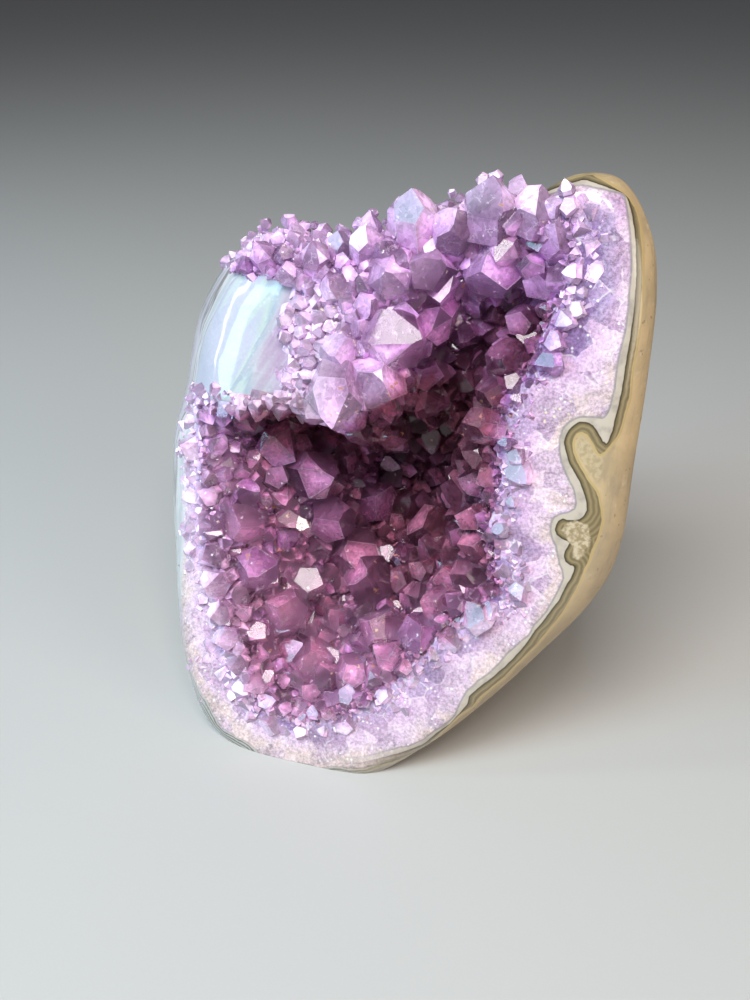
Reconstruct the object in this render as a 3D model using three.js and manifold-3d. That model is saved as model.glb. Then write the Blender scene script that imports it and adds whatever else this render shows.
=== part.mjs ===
// Amethyst geode with a cut base, as a three.js scene: a nodule of stone whose front is cut open and
// polished, and the crust of quartz crystals that lines its hollow.
//
// Both pieces are drawn in the frame of the polished face: X to the right, Y up the face and Z out of
// it, towards the viewer, in millimetres. The face leans back, so the group that holds them is turned
// about X, and it is moved so that the part's origin is the middle of the flat base, with +Z up.
import * as THREE from "three";
import { mergeVertices } from "three/addons/utils/BufferGeometryUtils.js";
import Module from "manifold-3d";

// How the nodule stands
const LEAN_BACK = 20; // degrees between the polished face and upright
const FACE_FOOT = { x: 3.9, y: -48 }; // where the face meets the floor, from the middle of the base

// The nodule: its outline in the face, counter-clockwise, and its depth behind the face
const OUTLINE = [
  [65.2, 92], [65.2, 112], [64.2, 131], [60.5, 145.5], [52.5, 155.5], [43, 156], [33, 150.5],
  [22, 148], [7, 143.5], [-11, 139.5], [-29, 140], [-42.5, 133], [-52.5, 119], [-57.5, 99],
  [-58.5, 78], [-56.8, 57], [-52, 37], [-46, 19], [-37, 3.5], [-22, -4], [-6, -4.5], [8, -2],
  [23, 9.5], [38.5, 26.5], [53, 48], [62, 68],
];
const OUTLINE_CENTRE = [0, 76];
const BODY_DEPTH = 92;
const BACK_CENTRE = [4, 62]; // the outline shrinks towards this point as it goes back
const BULGE = 0.03; // how much wider the body is behind the face, as a share
const EDGE_RADIUS = { right: 9, left: 19, foot: 6 }; // the rounding round the polished face

// Flats left by the grinding wheel: the way each faces and its distance from the outline's centre
const FLATS = [
  { out: [1, -0.02, -0.16], reach: 67 },
  { out: [0.8, -0.62, -0.1], reach: 66.5 },
  { out: [0.8, 0.35, -0.62], reach: 79 },
  { out: [0.2, 0.8, -0.7], reach: 84 },
  { out: [-0.6, 0.55, -0.7], reach: 78 },
  { out: [-0.9, -0.1, -0.5], reach: 66 },
  { out: [0.1, 0.15, -1], reach: 86 },
  { out: [0.7, -0.2, -0.8], reach: 80 },
];

// The hollow: its edge in the face, counter-clockwise, as x, y and how steeply the stone drops away
// from the edge that starts there. The ledge stands in from the upper left.
const HOLLOW_DEPTH = 56;
const HOLLOW_EDGE = [
  [12.5, 25, 1.4], [25, 42, 1.5], [38.5, 56.5, 2.8], [34, 72, 3], [33, 85, 3], [34.5, 98, 2.8],
  [39, 115, 2.4], [46, 136, 1.6], [44, 143.5, 0.9], [33, 145.5, 0.75], [22, 144, 0.75],
  [7, 139.5, 0.75], [-11, 135.5, 0.75], [-29, 136, 0.8], [-39, 129, 0.8], [-44, 112, 0.9],
  [-44.5, 90, 0.95], [-43, 72, 1], [-40, 57, 1], [-33, 33, 0.95], [-29, 21, 0.9], [-22, 13.5, 0.8],
  [-11, 10.5, 0.8], [0, 15, 1],
];
const LEDGE = { foot: 92, side: 6, footDrop: 4, sideDrop: 3 };
const DOME = { at: [-30, 116], wide: 34, high: 5 }; // how the ledge swells out of the face
const CORNER_BLEND = 5; // how softly walls, floor and ledge run into each other, mm
const BARE_LEDGE = { right: -14, bottom: 94.5, top: 126 }; // polished stone left of and between these

// The crust: the layer that the crystals grow from, and the crystals that fill it between those placed
// by eye, with the least and greatest half width, how close they stand and how far they lean
const CRUST = 3;
const CRUST_GAP = 0.4; // between crust and stone
const CRYSTALS = { tries: 5200, small: 3.6, large: 5.8, spacing: 0.87, tilt: 0.42 };
const POINT_SLOPE = 1.27; // height of a crystal's point over its half width: quartz's own angle
const ROOT = 1.5; // how deep a standing crystal starts under the stone's surface, before the cut

// Crystals that stand out, placed by eye, the most exposed first: x and y in the face, half width,
// length above the stone and the way each points
const STANDING_CRYSTALS = [
  { at: [7.5, 137], half: 5.5, long: 10, to: [-0.05, 0.85, 0.55] },
  { at: [25, 141], half: 5.5, long: 10, to: [0, 0.85, 0.5] },
  { at: [33, 142.5], half: 4, long: 7, to: [0.25, 0.8, 0.5] },
  { at: [-29, 131], half: 5, long: 7, to: [-0.2, 0.7, 0.7] },
  { at: [-16, 133], half: 4.2, long: 7, to: [0, 0.85, 0.5] },
  { at: [-4, 135], half: 4, long: 6, to: [0.1, 0.75, 0.65] },
  { at: [16, 138], half: 4.5, long: 7, to: [0.2, 0.6, 0.75] },
  { at: [41, 140], half: 5, long: 5, to: [-0.1, 0.4, 0.9] },
  { at: [26, 133], half: 6.5, long: 9, to: [-0.1, -0.1, 1] },
  { at: [12, 131], half: 5, long: 9, to: [-0.3, 0.1, 0.95] },
  { at: [14, 124], half: 4.5, long: 11, to: [-0.1, -0.55, 0.8] },
  { at: [3, 128], half: 4.5, long: 7, to: [0.1, 0.15, 1] },
  { at: [4, 114], half: 6.5, long: 9, to: [0.75, 0.1, 0.65] },
  { at: [1, 105], half: 6, long: 9, to: [0.6, -0.35, 0.7] },
  { at: [-8, 99], half: 7, long: 12, to: [0.05, -0.85, 0.55] },
  { at: [-7, 110], half: 5.5, long: 5, to: [0.1, -0.1, 1] },
  { at: [-19, 95.5], half: 3.5, long: 6, to: [0, -0.9, 0.4] },
  { at: [-27, 95.5], half: 3.5, long: 6, to: [-0.1, -0.9, 0.4] },
  { at: [-35, 95], half: 3.5, long: 5, to: [0, -0.9, 0.4] },
  { at: [-16, 62], half: 6.5, long: 13, to: [0.45, 0.15, 0.85] },
  { at: [-7, 54], half: 6.5, long: 13, to: [0.35, -0.25, 0.9] },
  { at: [-22, 75], half: 6, long: 12, to: [0.75, 0.1, 0.6] },
  { at: [-33, 61], half: 5.5, long: 8, to: [0.3, 0.1, 0.95] },
  { at: [-29, 49], half: 5.5, long: 8, to: [0.2, 0, 1] },
  { at: [-19, 37], half: 5.5, long: 9, to: [0, 0.35, 0.9] },
  { at: [0, 45], half: 6, long: 12, to: [0.1, 0.4, 0.9] },
  { at: [10, 36], half: 6, long: 10, to: [-0.3, 0.5, 0.8] },
  { at: [-10, 24], half: 6, long: 8, to: [0.1, 0.6, 0.75] },
  { at: [3, 25], half: 4.5, long: 7, to: [-0.1, 0.55, 0.8] },
  { at: [15, 62], half: 6, long: 11, to: [-0.1, 0.2, 1] },
  { at: [-22, 129], half: 4.5, long: 5, to: [-0.1, 0.3, 0.95] },
  { at: [-10, 126], half: 4.5, long: 5, to: [0, 0.3, 0.95] },
];

// Plainer ones on the steep right wall: x, y, half width and length, and the way that all point
const OFF_WALL = [-0.8, 0.1, 0.55];
const WALL_CRYSTALS = [
  [41, 130, 4, 5], [38.5, 121, 4, 6], [36, 112, 4.5, 6], [33.5, 104, 3.8, 5], [32.6, 96, 4, 6],
  [31.2, 88, 3.6, 5], [31, 80, 4, 6], [31.6, 72, 3.6, 5], [33.5, 65, 3.6, 5], [33, 57, 4.5, 6],
  [27, 49, 4, 6],
];

// Grid of the stone's surface
const SPOKES = 44;
const HOLLOW_RINGS = 8;
const RIM_RINGS = 2;
const EDGE_RINGS = 4;
const BACK_RINGS = 7;
const FAR = 400; // half the side of a box that stands for everything below the floor

const wasm = await Module();
wasm.setup();

const mix = (a, b, t) => a + (b - a) * t;
const clamp = (v, low, high) => Math.min(Math.max(v, low), high);
const smooth = (v) => v * v * (3 - 2 * v);

// A number from 0 to 1 that looks random and is the same each time, for item i and use k.
function chance(i, k) {
  const s = Math.sin(i * 12.9898 + k * 78.233) * 43758.5453;
  return s - Math.floor(s);
}

// The lower of two heights, rounded off where they cross.
function softMin(a, b, blend) {
  const h = Math.max(blend - Math.abs(a - b), 0) / blend;
  return Math.min(a, b) - (h * h * blend) / 4;
}

const outlineCurve = new THREE.CatmullRomCurve3(
  OUTLINE.map(([x, y]) => new THREE.Vector3(x, y, 0)),
  true,
  "centripetal",
);
const outlineTable = outlineCurve
  .getPoints(720)
  .map((p) => {
    const [dx, dy] = [p.x - OUTLINE_CENTRE[0], p.y - OUTLINE_CENTRE[1]];
    return { angle: Math.atan2(dy, dx), radius: Math.hypot(dx, dy) };
  })
  .sort((a, b) => a.angle - b.angle);

// How far the outline is from its centre in a direction.
function outlineRadius(angle) {
  const t = outlineTable;
  const found = Math.max(0, t.findIndex((e) => e.angle >= angle));
  const a = t[(found + t.length - 1) % t.length];
  const b = t[found];
  const turn = 2 * Math.PI;
  const span = (b.angle - a.angle + turn) % turn;
  return mix(a.radius, b.radius, span ? ((angle - a.angle + turn) % turn) / span : 0);
}

// The radius of the rounding round the face, wide on the left where the polish wraps round.
function edgeRadius(angle) {
  const toLeft = smooth(clamp(-Math.cos(angle) * 1.3, 0, 1));
  const toFoot = smooth(clamp(-Math.sin(angle) * 1.6 - 0.5, 0, 1));
  return mix(mix(EDGE_RADIUS.right, EDGE_RADIUS.left, toLeft), EDGE_RADIUS.foot, toFoot);
}

// The distance of a point of the face from each stretch of the hollow's edge, negative outside it.
function edgeDistances(x, y) {
  let inside = false;
  const distances = HOLLOW_EDGE.map(([ax, ay], i) => {
    const [bx, by] = HOLLOW_EDGE[(i + 1) % HOLLOW_EDGE.length];
    const [dx, dy] = [bx - ax, by - ay];
    if (ay > y !== by > y && x < ax + (dx * (y - ay)) / dy) inside = !inside;
    const t = clamp(((x - ax) * dx + (y - ay) * dy) / (dx * dx + dy * dy), 0, 1);
    return Math.hypot(x - ax - t * dx, y - ay - t * dy);
  });
  return inside ? distances : distances.map((d) => -d);
}

// How far a point of the face is inside the hollow's edge, negative outside it.
function insideEdge(x, y) {
  const distances = edgeDistances(x, y);
  return distances[0] > 0 ? Math.min(...distances) : Math.max(...distances);
}

// The distance from the outline's centre to the hollow's edge in a direction.
function hollowRadius(angle) {
  let [low, high] = [0, outlineRadius(angle) - 2];
  for (let i = 0; i < 20; i++) {
    const r = (low + high) / 2;
    const [x, y] = [r * Math.cos(angle), r * Math.sin(angle)];
    if (insideEdge(OUTLINE_CENTRE[0] + x, OUTLINE_CENTRE[1] + y) > 0) low = r;
    else high = r;
  }
  return low;
}

// Depth of the hollow under a point of the face; 0 where the stone is whole. Tight draws every wall in
// by that much, for the surface that cuts the crust clear of the stone.
function hollowDepth(x, y, tight = 0) {
  const drops = edgeDistances(x, y).map((d, i) => HOLLOW_EDGE[i][2] * (d - tight));
  const depth = softMin(HOLLOW_DEPTH, Math.min(...drops), CORNER_BLEND);
  const underLedge = LEDGE.footDrop * (LEDGE.foot - y - tight);
  const besideLedge = LEDGE.sideDrop * (x - LEDGE.side - tight);
  return Math.max(0, softMin(depth, Math.max(underLedge, besideLedge, 0.5), CORNER_BLEND));
}

// How far the dome over the ledge stands out of the face plane.
function domeHeight(x, y) {
  const off = Math.hypot(x - DOME.at[0], y - DOME.at[1]) / DOME.wide;
  return DOME.high * smooth(clamp(1 - off, 0, 1)) * smooth(clamp(1 - hollowDepth(x, y) / 12, 0, 1));
}

// Depth of the stone's front surface behind the face plane, edge rounding included.
function frontDepth(x, y, tight = 0) {
  const angle = Math.atan2(y - OUTLINE_CENTRE[1], x - OUTLINE_CENTRE[0]);
  const radius = edgeRadius(angle);
  const inset = outlineRadius(angle) - Math.hypot(x - OUTLINE_CENTRE[0], y - OUTLINE_CENTRE[1]);
  const out = clamp(1 - inset / radius, 0, 1);
  return hollowDepth(x, y, tight) - domeHeight(x, y) + radius * (1 - Math.sqrt(1 - out * out));
}

// How far a point of the face is inside the part that crystals cover, negative on bare stone.
function crystalCover(x, y) {
  const bare = Math.min(BARE_LEDGE.right - x, y - BARE_LEDGE.bottom, BARE_LEDGE.top - y);
  return Math.min(insideEdge(x, y), -bare);
}

// A closed mesh from rings of points: the first and last ring are single points.
function surfaceFromRings(rings) {
  const count = rings[1].length;
  const position = rings.flat(2);
  const start = rings.map((_, i) => (i ? 1 + (i - 1) * count : 0));
  const faces = [];
  for (let k = 0; k < count; k++) {
    const next = (k + 1) % count;
    faces.push(0, start[1] + k, start[1] + next);
    for (let i = 1; i < rings.length - 2; i++) {
      const [a, b] = [start[i] + k, start[i] + next];
      const [c, d] = [start[i + 1] + k, start[i + 1] + next];
      faces.push(a, c, d, a, d, b);
    }
    const last = start[rings.length - 1];
    faces.push(start[rings.length - 2] + k, last, start[rings.length - 2] + next);
  }
  return new THREE.BufferGeometry()
    .setAttribute("position", new THREE.Float32BufferAttribute(position, 3))
    .setIndex(faces);
}

// Moves a point back to the nearest of the wheel's flats that it stands out of.
function grind([x, y, z], grow) {
  const p = new THREE.Vector3(x - OUTLINE_CENTRE[0], y - OUTLINE_CENTRE[1], z);
  for (const { out, reach } of FLATS) {
    const direction = new THREE.Vector3(...out).normalize();
    const over = p.dot(direction) - reach - grow;
    if (over > 0) p.addScaledVector(direction, -over);
  }
  return [p.x + OUTLINE_CENTRE[0], p.y + OUTLINE_CENTRE[1], p.z];
}

// The stone's surface, or that surface grown a little all round to cut the crust clear of it.
function stoneSurface(grow = 0) {
  const angles = Array.from({ length: SPOKES }, (_, k) => -Math.PI + (2 * Math.PI * k) / SPOKES);
  const [cx, cy] = OUTLINE_CENTRE;
  const onFront = (angle, radius) => {
    const [x, y] = [cx + radius * Math.cos(angle), cy + radius * Math.sin(angle)];
    return [x, y, grow - frontDepth(x, y, grow)];
  };
  const rings = [[[cx, cy, grow - frontDepth(cx, cy, grow)]]];
  for (let i = 1; i <= HOLLOW_RINGS; i++)
    rings.push(angles.map((a) => onFront(a, (hollowRadius(a) * i) / HOLLOW_RINGS)));
  for (let i = 1; i <= RIM_RINGS; i++)
    rings.push(
      angles.map((a) => {
        const flat = Math.max(outlineRadius(a) - edgeRadius(a), hollowRadius(a) + 1);
        return onFront(a, mix(hollowRadius(a), flat, i / RIM_RINGS));
      }),
    );
  for (let i = 1; i <= EDGE_RINGS; i++) {
    const bend = (Math.PI / 2) * (i / EDGE_RINGS);
    rings.push(
      angles.map((a) => {
        const flat = Math.max(outlineRadius(a) - edgeRadius(a), hollowRadius(a) + 1);
        const r = mix(flat, outlineRadius(a), Math.sin(bend));
        const [x, y, z] = onFront(a, r);
        const wide = (r + grow * Math.sin(bend)) / r;
        return [mix(cx, x, wide), mix(cy, y, wide), z];
      }),
    );
  }
  for (let i = 1; i <= BACK_RINGS; i++) {
    const turn = (Math.PI / 2) * (i / BACK_RINGS);
    const size = Math.pow(Math.cos(turn), 0.62) * (1 + BULGE * Math.sin(2 * turn));
    const back = Math.sin(turn);
    const [bx, by] = [mix(cx, BACK_CENTRE[0], back), mix(cy, BACK_CENTRE[1], back)];
    const ring = angles.map((a) => {
      const r = (outlineRadius(a) + grow) * size;
      const z = -mix(edgeRadius(a), BODY_DEPTH, back);
      return grind([bx + r * Math.cos(a), by + r * Math.sin(a), z], grow);
    });
    rings.push(i < BACK_RINGS ? ring : [[bx, by, -BODY_DEPTH - grow]]);
  }
  return surfaceFromRings(rings);
}

// The layer that the crystals grow from: it lies on the stone where crystals cover it, and dips into
// the stone elsewhere, where the cut takes it away.
function crustLayer() {
  const angles = Array.from({ length: SPOKES }, (_, k) => -Math.PI + (2 * Math.PI * k) / SPOKES);
  const [cx, cy] = OUTLINE_CENTRE;
  const point = (x, y, top) => {
    if (!top) return [x, y, -frontDepth(x, y) - CRUST];
    const cover = clamp(crystalCover(x, y) / CRUST, -1, 1);
    const out = CRUST_GAP + 0.6 * CRUST * cover;
    return [x, y, out - frontDepth(x, y, Math.max(out, 0))];
  };
  const ringAt = (share, top) =>
    angles.map((a) => {
      const r = (hollowRadius(a) + 1) * share;
      return point(cx + r * Math.cos(a), cy + r * Math.sin(a), top);
    });
  const rings = [[point(cx, cy, true)]];
  for (let i = 1; i <= HOLLOW_RINGS; i++) rings.push(ringAt(i / HOLLOW_RINGS, true));
  for (let i = HOLLOW_RINGS; i >= 1; i--) rings.push(ringAt(i / HOLLOW_RINGS, false));
  rings.push([point(cx, cy, false)]);
  return surfaceFromRings(rings);
}

// One quartz crystal along +Z, its root at the origin: a six-sided prism under a point with three
// large and three small faces. Half is the half width, long the height of the point over the root.
function quartzCrystal(half, long, minor) {
  const slope = POINT_SLOPE;
  const drop = minor * 0.6 * half; // how far the small faces start below the tip
  const shoulder = long - slope * half;
  const along = half / Math.sqrt(3) - drop / (slope * Math.cos(Math.PI / 6));
  const around = (degrees, radius, z) => {
    const a = THREE.MathUtils.degToRad(degrees);
    return [radius * Math.cos(a), radius * Math.sin(a), z];
  };
  const column = half / Math.cos(Math.PI / 6);
  const points = [around(0, 0, long)];
  const faces = [];
  const add = (p) => points.push(p) - 1;
  const fan = (...ring) => {
    for (let i = 1; i < ring.length - 1; i++) faces.push(ring[0], ring[i], ring[i + 1]);
  };
  const corner = [];
  const foot = [];
  for (let j = 0; j < 6; j++) {
    corner.push(add(around(30 + 60 * j, column, shoulder)));
    foot.push(add(around(30 + 60 * j, column, 0)));
  }
  const peak = {};
  const left = {};
  const right = {};
  const spread = THREE.MathUtils.radToDeg(Math.atan2(along, half));
  for (const j of [1, 3, 5]) {
    peak[j] = add(around(60 * j, (2 * drop) / slope, long - drop));
    left[j] = add(around(60 * j - spread, Math.hypot(half, along), shoulder + drop));
    right[j] = add(around(60 * j + spread, Math.hypot(half, along), shoulder + drop));
    fan(peak[j], left[j], right[j]);
    fan(corner[j - 1], foot[j - 1], foot[j], corner[j], right[j], left[j]);
  }
  for (const j of [0, 2, 4]) {
    const [before, after] = [(j + 5) % 6, j + 1];
    fan(0, peak[before], right[before], corner[before], corner[j], left[after], peak[after]);
    fan(corner[before], foot[before], foot[j], corner[j]);
  }
  fan(...foot.slice().reverse());
  return new THREE.BufferGeometry()
    .setAttribute("position", new THREE.Float32BufferAttribute(points.flat(), 3))
    .setIndex(faces);
}

// A plainer crystal for the many that stand close together, where only the point shows.
function quartzPoint(half, long) {
  const foot = Math.min(long / POINT_SLOPE, 1.4 * half) / Math.cos(Math.PI / 6);
  const points = [[0, 0, long]];
  const faces = [];
  for (let j = 0; j < 6; j++) {
    const a = (Math.PI / 3) * j;
    points.push([foot * Math.cos(a), foot * Math.sin(a), 0]);
    faces.push(0, 1 + j, 1 + ((j + 1) % 6));
    if (j > 0 && j < 5) faces.push(1, 2 + j, 1 + j);
  }
  return new THREE.BufferGeometry()
    .setAttribute("position", new THREE.Float32BufferAttribute(points.flat(), 3))
    .setIndex(faces);
}

// The way out of the crust at a point of the face, from the slope of the stone around it.
function crustNormal(x, y) {
  const step = 3;
  const h = (a, b) => -frontDepth(a, b);
  return new THREE.Vector3(
    (h(x - step, y) - h(x + step, y)) / (2 * step),
    (h(x, y - step) - h(x, y + step)) / (2 * step),
    1,
  ).normalize();
}

// Where every crystal goes: those placed by eye, then others in the gaps between them.
function placeCrystals() {
  const stand = (x, y, half, long, to, full) => ({
    root: new THREE.Vector3(x, y, -ROOT - frontDepth(x, y)),
    half,
    long: long + CRUST + ROOT,
    way: new THREE.Vector3(...to).normalize(),
    full,
  });
  const placed = [
    ...STANDING_CRYSTALS.map(({ at: [x, y], half, long, to }) => stand(x, y, half, long, to, true)),
    ...WALL_CRYSTALS.map(([x, y, half, long]) => stand(x, y, half, long, OFF_WALL, false)),
  ];
  for (let i = 1; i <= CRYSTALS.tries; i++) {
    const x = mix(-46, 50, (i * 0.7548776662) % 1);
    const y = mix(8, 144, (i * 0.569840291) % 1);
    const half = mix(CRYSTALS.small, CRYSTALS.large, chance(i, 1) ** 1.6);
    if (crystalCover(x, y) < 0.6 * half) continue;
    const root = new THREE.Vector3(x, y, CRUST * 0.3 - frontDepth(x, y));
    const near = (c) => c.root.distanceTo(root) < CRYSTALS.spacing * (c.half + half);
    if (placed.some(near)) continue;
    const lean = [2, 3, 4].map((k) => CRYSTALS.tilt * (2 * chance(i, k) - 1));
    const way = crustNormal(x, y).add(new THREE.Vector3(...lean)).normalize();
    placed.push({ root, half, long: half * mix(1.5, 1.9, chance(i, 5)), way });
  }
  return placed;
}

// A geometry as a manifold-3d solid.
function solidFrom(geometry) {
  const bare = geometry.clone();
  bare.deleteAttribute("normal");
  bare.deleteAttribute("uv");
  const merged = mergeVertices(bare, 1e-4);
  return new wasm.Manifold(
    new wasm.Mesh({
      numProp: 3,
      vertProperties: new Float32Array(merged.attributes.position.array),
      triVerts: new Uint32Array(merged.index.array),
    }),
  );
}

// A manifold-3d solid as a geometry to show.
function geometryFrom(solid) {
  const mesh = solid.getMesh();
  const position = new Float32Array(mesh.numVert * 3);
  for (let i = 0; i < mesh.numVert; i++)
    position.set(mesh.vertProperties.subarray(i * mesh.numProp, i * mesh.numProp + 3), i * 3);
  const geometry = new THREE.BufferGeometry()
    .setAttribute("position", new THREE.BufferAttribute(position, 3))
    .setIndex(new THREE.BufferAttribute(mesh.triVerts, 1));
  geometry.computeVertexNormals();
  return geometry;
}

// Everything below the floor, in the face's frame.
function belowFloor(above = 0) {
  const box = new THREE.BoxGeometry(2 * FAR, 2 * FAR, 2 * FAR);
  box.translate(0, 0, above - FAR);
  box.rotateX(THREE.MathUtils.degToRad(LEAN_BACK - 90));
  return solidFrom(box);
}

function buildStone() {
  return solidFrom(stoneSurface()).subtract(belowFloor());
}

function buildCrust() {
  let crust = solidFrom(crustLayer());
  const up = new THREE.Vector3(0, 0, 1);
  placeCrystals().forEach(({ root, half, long, way, full }, i) => {
    const shape = full
      ? quartzCrystal(half, long, mix(0.15, 0.85, chance(i, 6)))
      : quartzPoint(half, long);
    shape.scale(mix(0.82, 1.1, chance(i, 7)), 1, 1);
    shape.rotateZ(2 * Math.PI * chance(i, 8));
    shape.applyQuaternion(new THREE.Quaternion().setFromUnitVectors(up, way));
    shape.translate(root.x, root.y, root.z);
    crust = crust.add(solidFrom(shape));
  });
  const clear = solidFrom(stoneSurface(CRUST_GAP));
  const pieces = crust.subtract(clear).subtract(belowFloor(2)).decompose();
  return pieces.reduce((a, b) => (a.volume() > b.volume() ? a : b));
}

function namedMesh(name, solid, material) {
  const mesh = new THREE.Mesh(geometryFrom(solid), new THREE.MeshStandardMaterial(material));
  mesh.name = name;
  return mesh;
}

const face = new THREE.Group();
face.rotation.x = THREE.MathUtils.degToRad(90 - LEAN_BACK);
face.position.set(FACE_FOOT.x, FACE_FOOT.y, 0);
face.add(
  namedMesh("stone_shell", buildStone(), { color: 0xb5a07c, roughness: 0.45, metalness: 0 }),
  namedMesh("amethyst_crust", buildCrust(), { color: 0x7a3f9e, roughness: 0.12, metalness: 0 }),
);

const geode = new THREE.Group();
geode.add(face);

export default geode;
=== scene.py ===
"""Looks of an amethyst geode that stands on its flat cut base.

The stone is one surface of two parameters, drawn in the polished face's frame in millimetres. The
hollow's crystals are convex solids found from the planes of their faces, joined in one crust.
"""

import logging
import math
from dataclasses import dataclass
from enum import Enum, IntEnum
from itertools import combinations
from typing import Any, Callable, Mapping, Sequence

import bmesh
import bpy
import numpy as np
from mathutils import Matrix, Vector


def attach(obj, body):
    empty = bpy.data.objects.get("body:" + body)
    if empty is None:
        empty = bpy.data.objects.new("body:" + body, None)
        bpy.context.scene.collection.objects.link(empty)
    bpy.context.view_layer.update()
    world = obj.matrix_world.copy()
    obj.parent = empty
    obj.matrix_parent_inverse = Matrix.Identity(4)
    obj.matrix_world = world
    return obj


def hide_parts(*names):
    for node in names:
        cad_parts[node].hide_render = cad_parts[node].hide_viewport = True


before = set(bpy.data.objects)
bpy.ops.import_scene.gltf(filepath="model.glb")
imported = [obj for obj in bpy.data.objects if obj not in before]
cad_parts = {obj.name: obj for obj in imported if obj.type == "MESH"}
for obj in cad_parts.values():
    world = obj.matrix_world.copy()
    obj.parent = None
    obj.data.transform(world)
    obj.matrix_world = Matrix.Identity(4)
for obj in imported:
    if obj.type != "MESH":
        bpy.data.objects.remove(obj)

Array = np.ndarray
Colour = tuple[float, float, float]
Line = tuple[tuple[float, float], ...]
Rows = tuple[tuple[float, ...], ...]

LOG = logging.getLogger("geode")
MM = 0.001

# How far behind the face plane, in millimetres, a point still counts as the front.
FRONT_DEPTH = 9.0

# How many points a face of a grid has; a face with more fills a hole.
QUAD = 4

# Steps of an even spread over a square: the plastic number's reciprocal and its square.
STEP_X, STEP_Y = 0.7548776662, 0.569840291


class Slot(Enum):
    """The material slots of the stone and the amethyst."""

    STONE = "stone"
    AMETHYST = "amethyst"


class Domain(Enum):
    """What an attribute of a mesh has one number for."""

    POINT = "POINT"
    FACE = "FACE"
    CORNER = "CORNER"


class Cell(Enum):
    """What random cells show: their own number, or the distance from their middle or edge."""

    NUMBER = "Color"
    MIDDLE = "F1"
    EDGE = "DISTANCE_TO_EDGE"


class Draw(IntEnum):
    """What a repeatable number of a crystal, or of one of its faces, is for."""

    SIZE = 1
    LEAN_X = 2
    LEAN_Y = 3
    LEAN_Z = 4
    LENGTH = 5
    WIDTH = 7
    SPIN = 8
    TONE = 9
    PRISM = 11
    POINT = 12
    REACH = 13
    SHIFT_X = 14
    SHIFT_Y = 15
    SHIFT_Z = 16
    FACET = 17
    UNEVEN = 18


def smooth(value: Array, low: float, high: float) -> Array:
    """Rises from 0 at low to 1 at high along 3t² - 2t³.

    Args:
        value: Numbers to map.
        low: Where the rise starts.
        high: Where it ends.

    Returns:
        Numbers from 0 to 1.
    """
    t = np.clip((value - low) / (high - low), 0.0, 1.0)
    return t * t * (3.0 - 2.0 * t)


def soft_min(a: Array, b: Array, blend: float) -> Array:
    """The lower of two heights, less h²·blend/4 where they come within blend of each other.

    Args:
        a: First height.
        b: Second height.
        blend: How near they are when the corner starts to round.

    Returns:
        The rounded lower height.
    """
    h = np.maximum(blend - np.abs(a - b), 0.0) / blend
    return np.minimum(a, b) - h * h * blend / 4.0


def chance(item: Array, use: Draw) -> Array:
    """A repeatable number from 0 to 1: the fraction of 43758.5453·sin(12.9898·item + 78.233·use).

    Args:
        item: Numbers of the items.
        use: What the number is for.

    Returns:
        One number for each item.
    """
    s = np.sin(np.asarray(item, float) * 12.9898 + use * 78.233) * 43758.5453
    return s - np.floor(s)


def unit(vectors: Array) -> Array:
    """Vectors scaled to length 1 along the last axis."""
    return vectors / np.linalg.norm(vectors, axis=-1, keepdims=True)


def waves(points: Array, length: float, seed: int, count: int = 9) -> Array:
    """Smooth lumps: the mean of count sine waves that run in seeded directions.

    Args:
        points: Places, any number of columns.
        length: Typical wavelength.
        seed: Chooses directions and phases.
        count: How many waves are added.

    Returns:
        Numbers of about -1 to 1.
    """
    rng = np.random.default_rng(seed)
    ways = unit(rng.normal(size=(count, points.shape[-1])))
    turns = 2.0 * np.pi / (length * rng.uniform(0.6, 1.7, count))
    phases = rng.uniform(0.0, 2.0 * np.pi, count)
    return np.sin(points @ ways.T * turns + phases).sum(-1) / math.sqrt(count)


@dataclass(frozen=True)
class FaceFrame:
    """The frame of the polished face: X right, Y up the face, Z out of it, in millimetres."""

    foot: tuple[float, float] = (3.9, -48.0)
    lean: float = 20.0

    def axes(self) -> Array:
        """The frame's three axes in the row's frame, one to a row."""
        t = math.radians(self.lean)
        return np.array(
            [[1.0, 0.0, 0.0], [0.0, math.sin(t), math.cos(t)], [0.0, -math.cos(t), math.sin(t)]]
        )

    def to_row(self, points: Array) -> Array:
        """Takes points of the face's frame, in millimetres, to the row's frame, in metres."""
        return (points @ self.axes() + np.array([*self.foot, 0.0])) * MM

    def to_face(self, points: Array) -> Array:
        """Takes points of the row's frame, in metres, to the face's frame, in millimetres."""
        return (points / MM - np.array([*self.foot, 0.0])) @ self.axes().T


FACE = FaceFrame()


@dataclass(frozen=True)
class Contour:
    """A closed line in the face, as corners in order, counter-clockwise."""

    corners: Line

    def distances(self, x: Array, y: Array) -> tuple[Array, Array]:
        """Distance of each point from each side, and whether the point is inside.

        A side's nearest point is at the clamped projection; a point is inside when a ray to its
        right crosses the sides an odd number of times.

        Args:
            x: Places to the right, any shape.
            y: Places up the face, the same shape.

        Returns:
            Distances with one more axis, for the sides, and a mask.
        """
        a = np.array(self.corners, float)
        d = np.roll(a, -1, 0) - a
        px, py = x[..., None] - a[:, 0], y[..., None] - a[:, 1]
        t = np.clip((px * d[:, 0] + py * d[:, 1]) / (d**2).sum(1), 0.0, 1.0)
        far = np.hypot(px - t * d[:, 0], py - t * d[:, 1])
        rise = np.where(d[:, 1] == 0.0, 1e-9, d[:, 1])
        crosses = ((py < 0.0) != (py - d[:, 1] < 0.0)) & (px < d[:, 0] * py / rise)
        return far, crosses.sum(-1) % 2 == 1

    def signed(self, x: Array, y: Array) -> Array:
        """Distance outwards from the contour, negative inside it."""
        far, inside = self.distances(x, y)
        return np.where(inside, -far.min(-1), far.min(-1))


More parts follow.
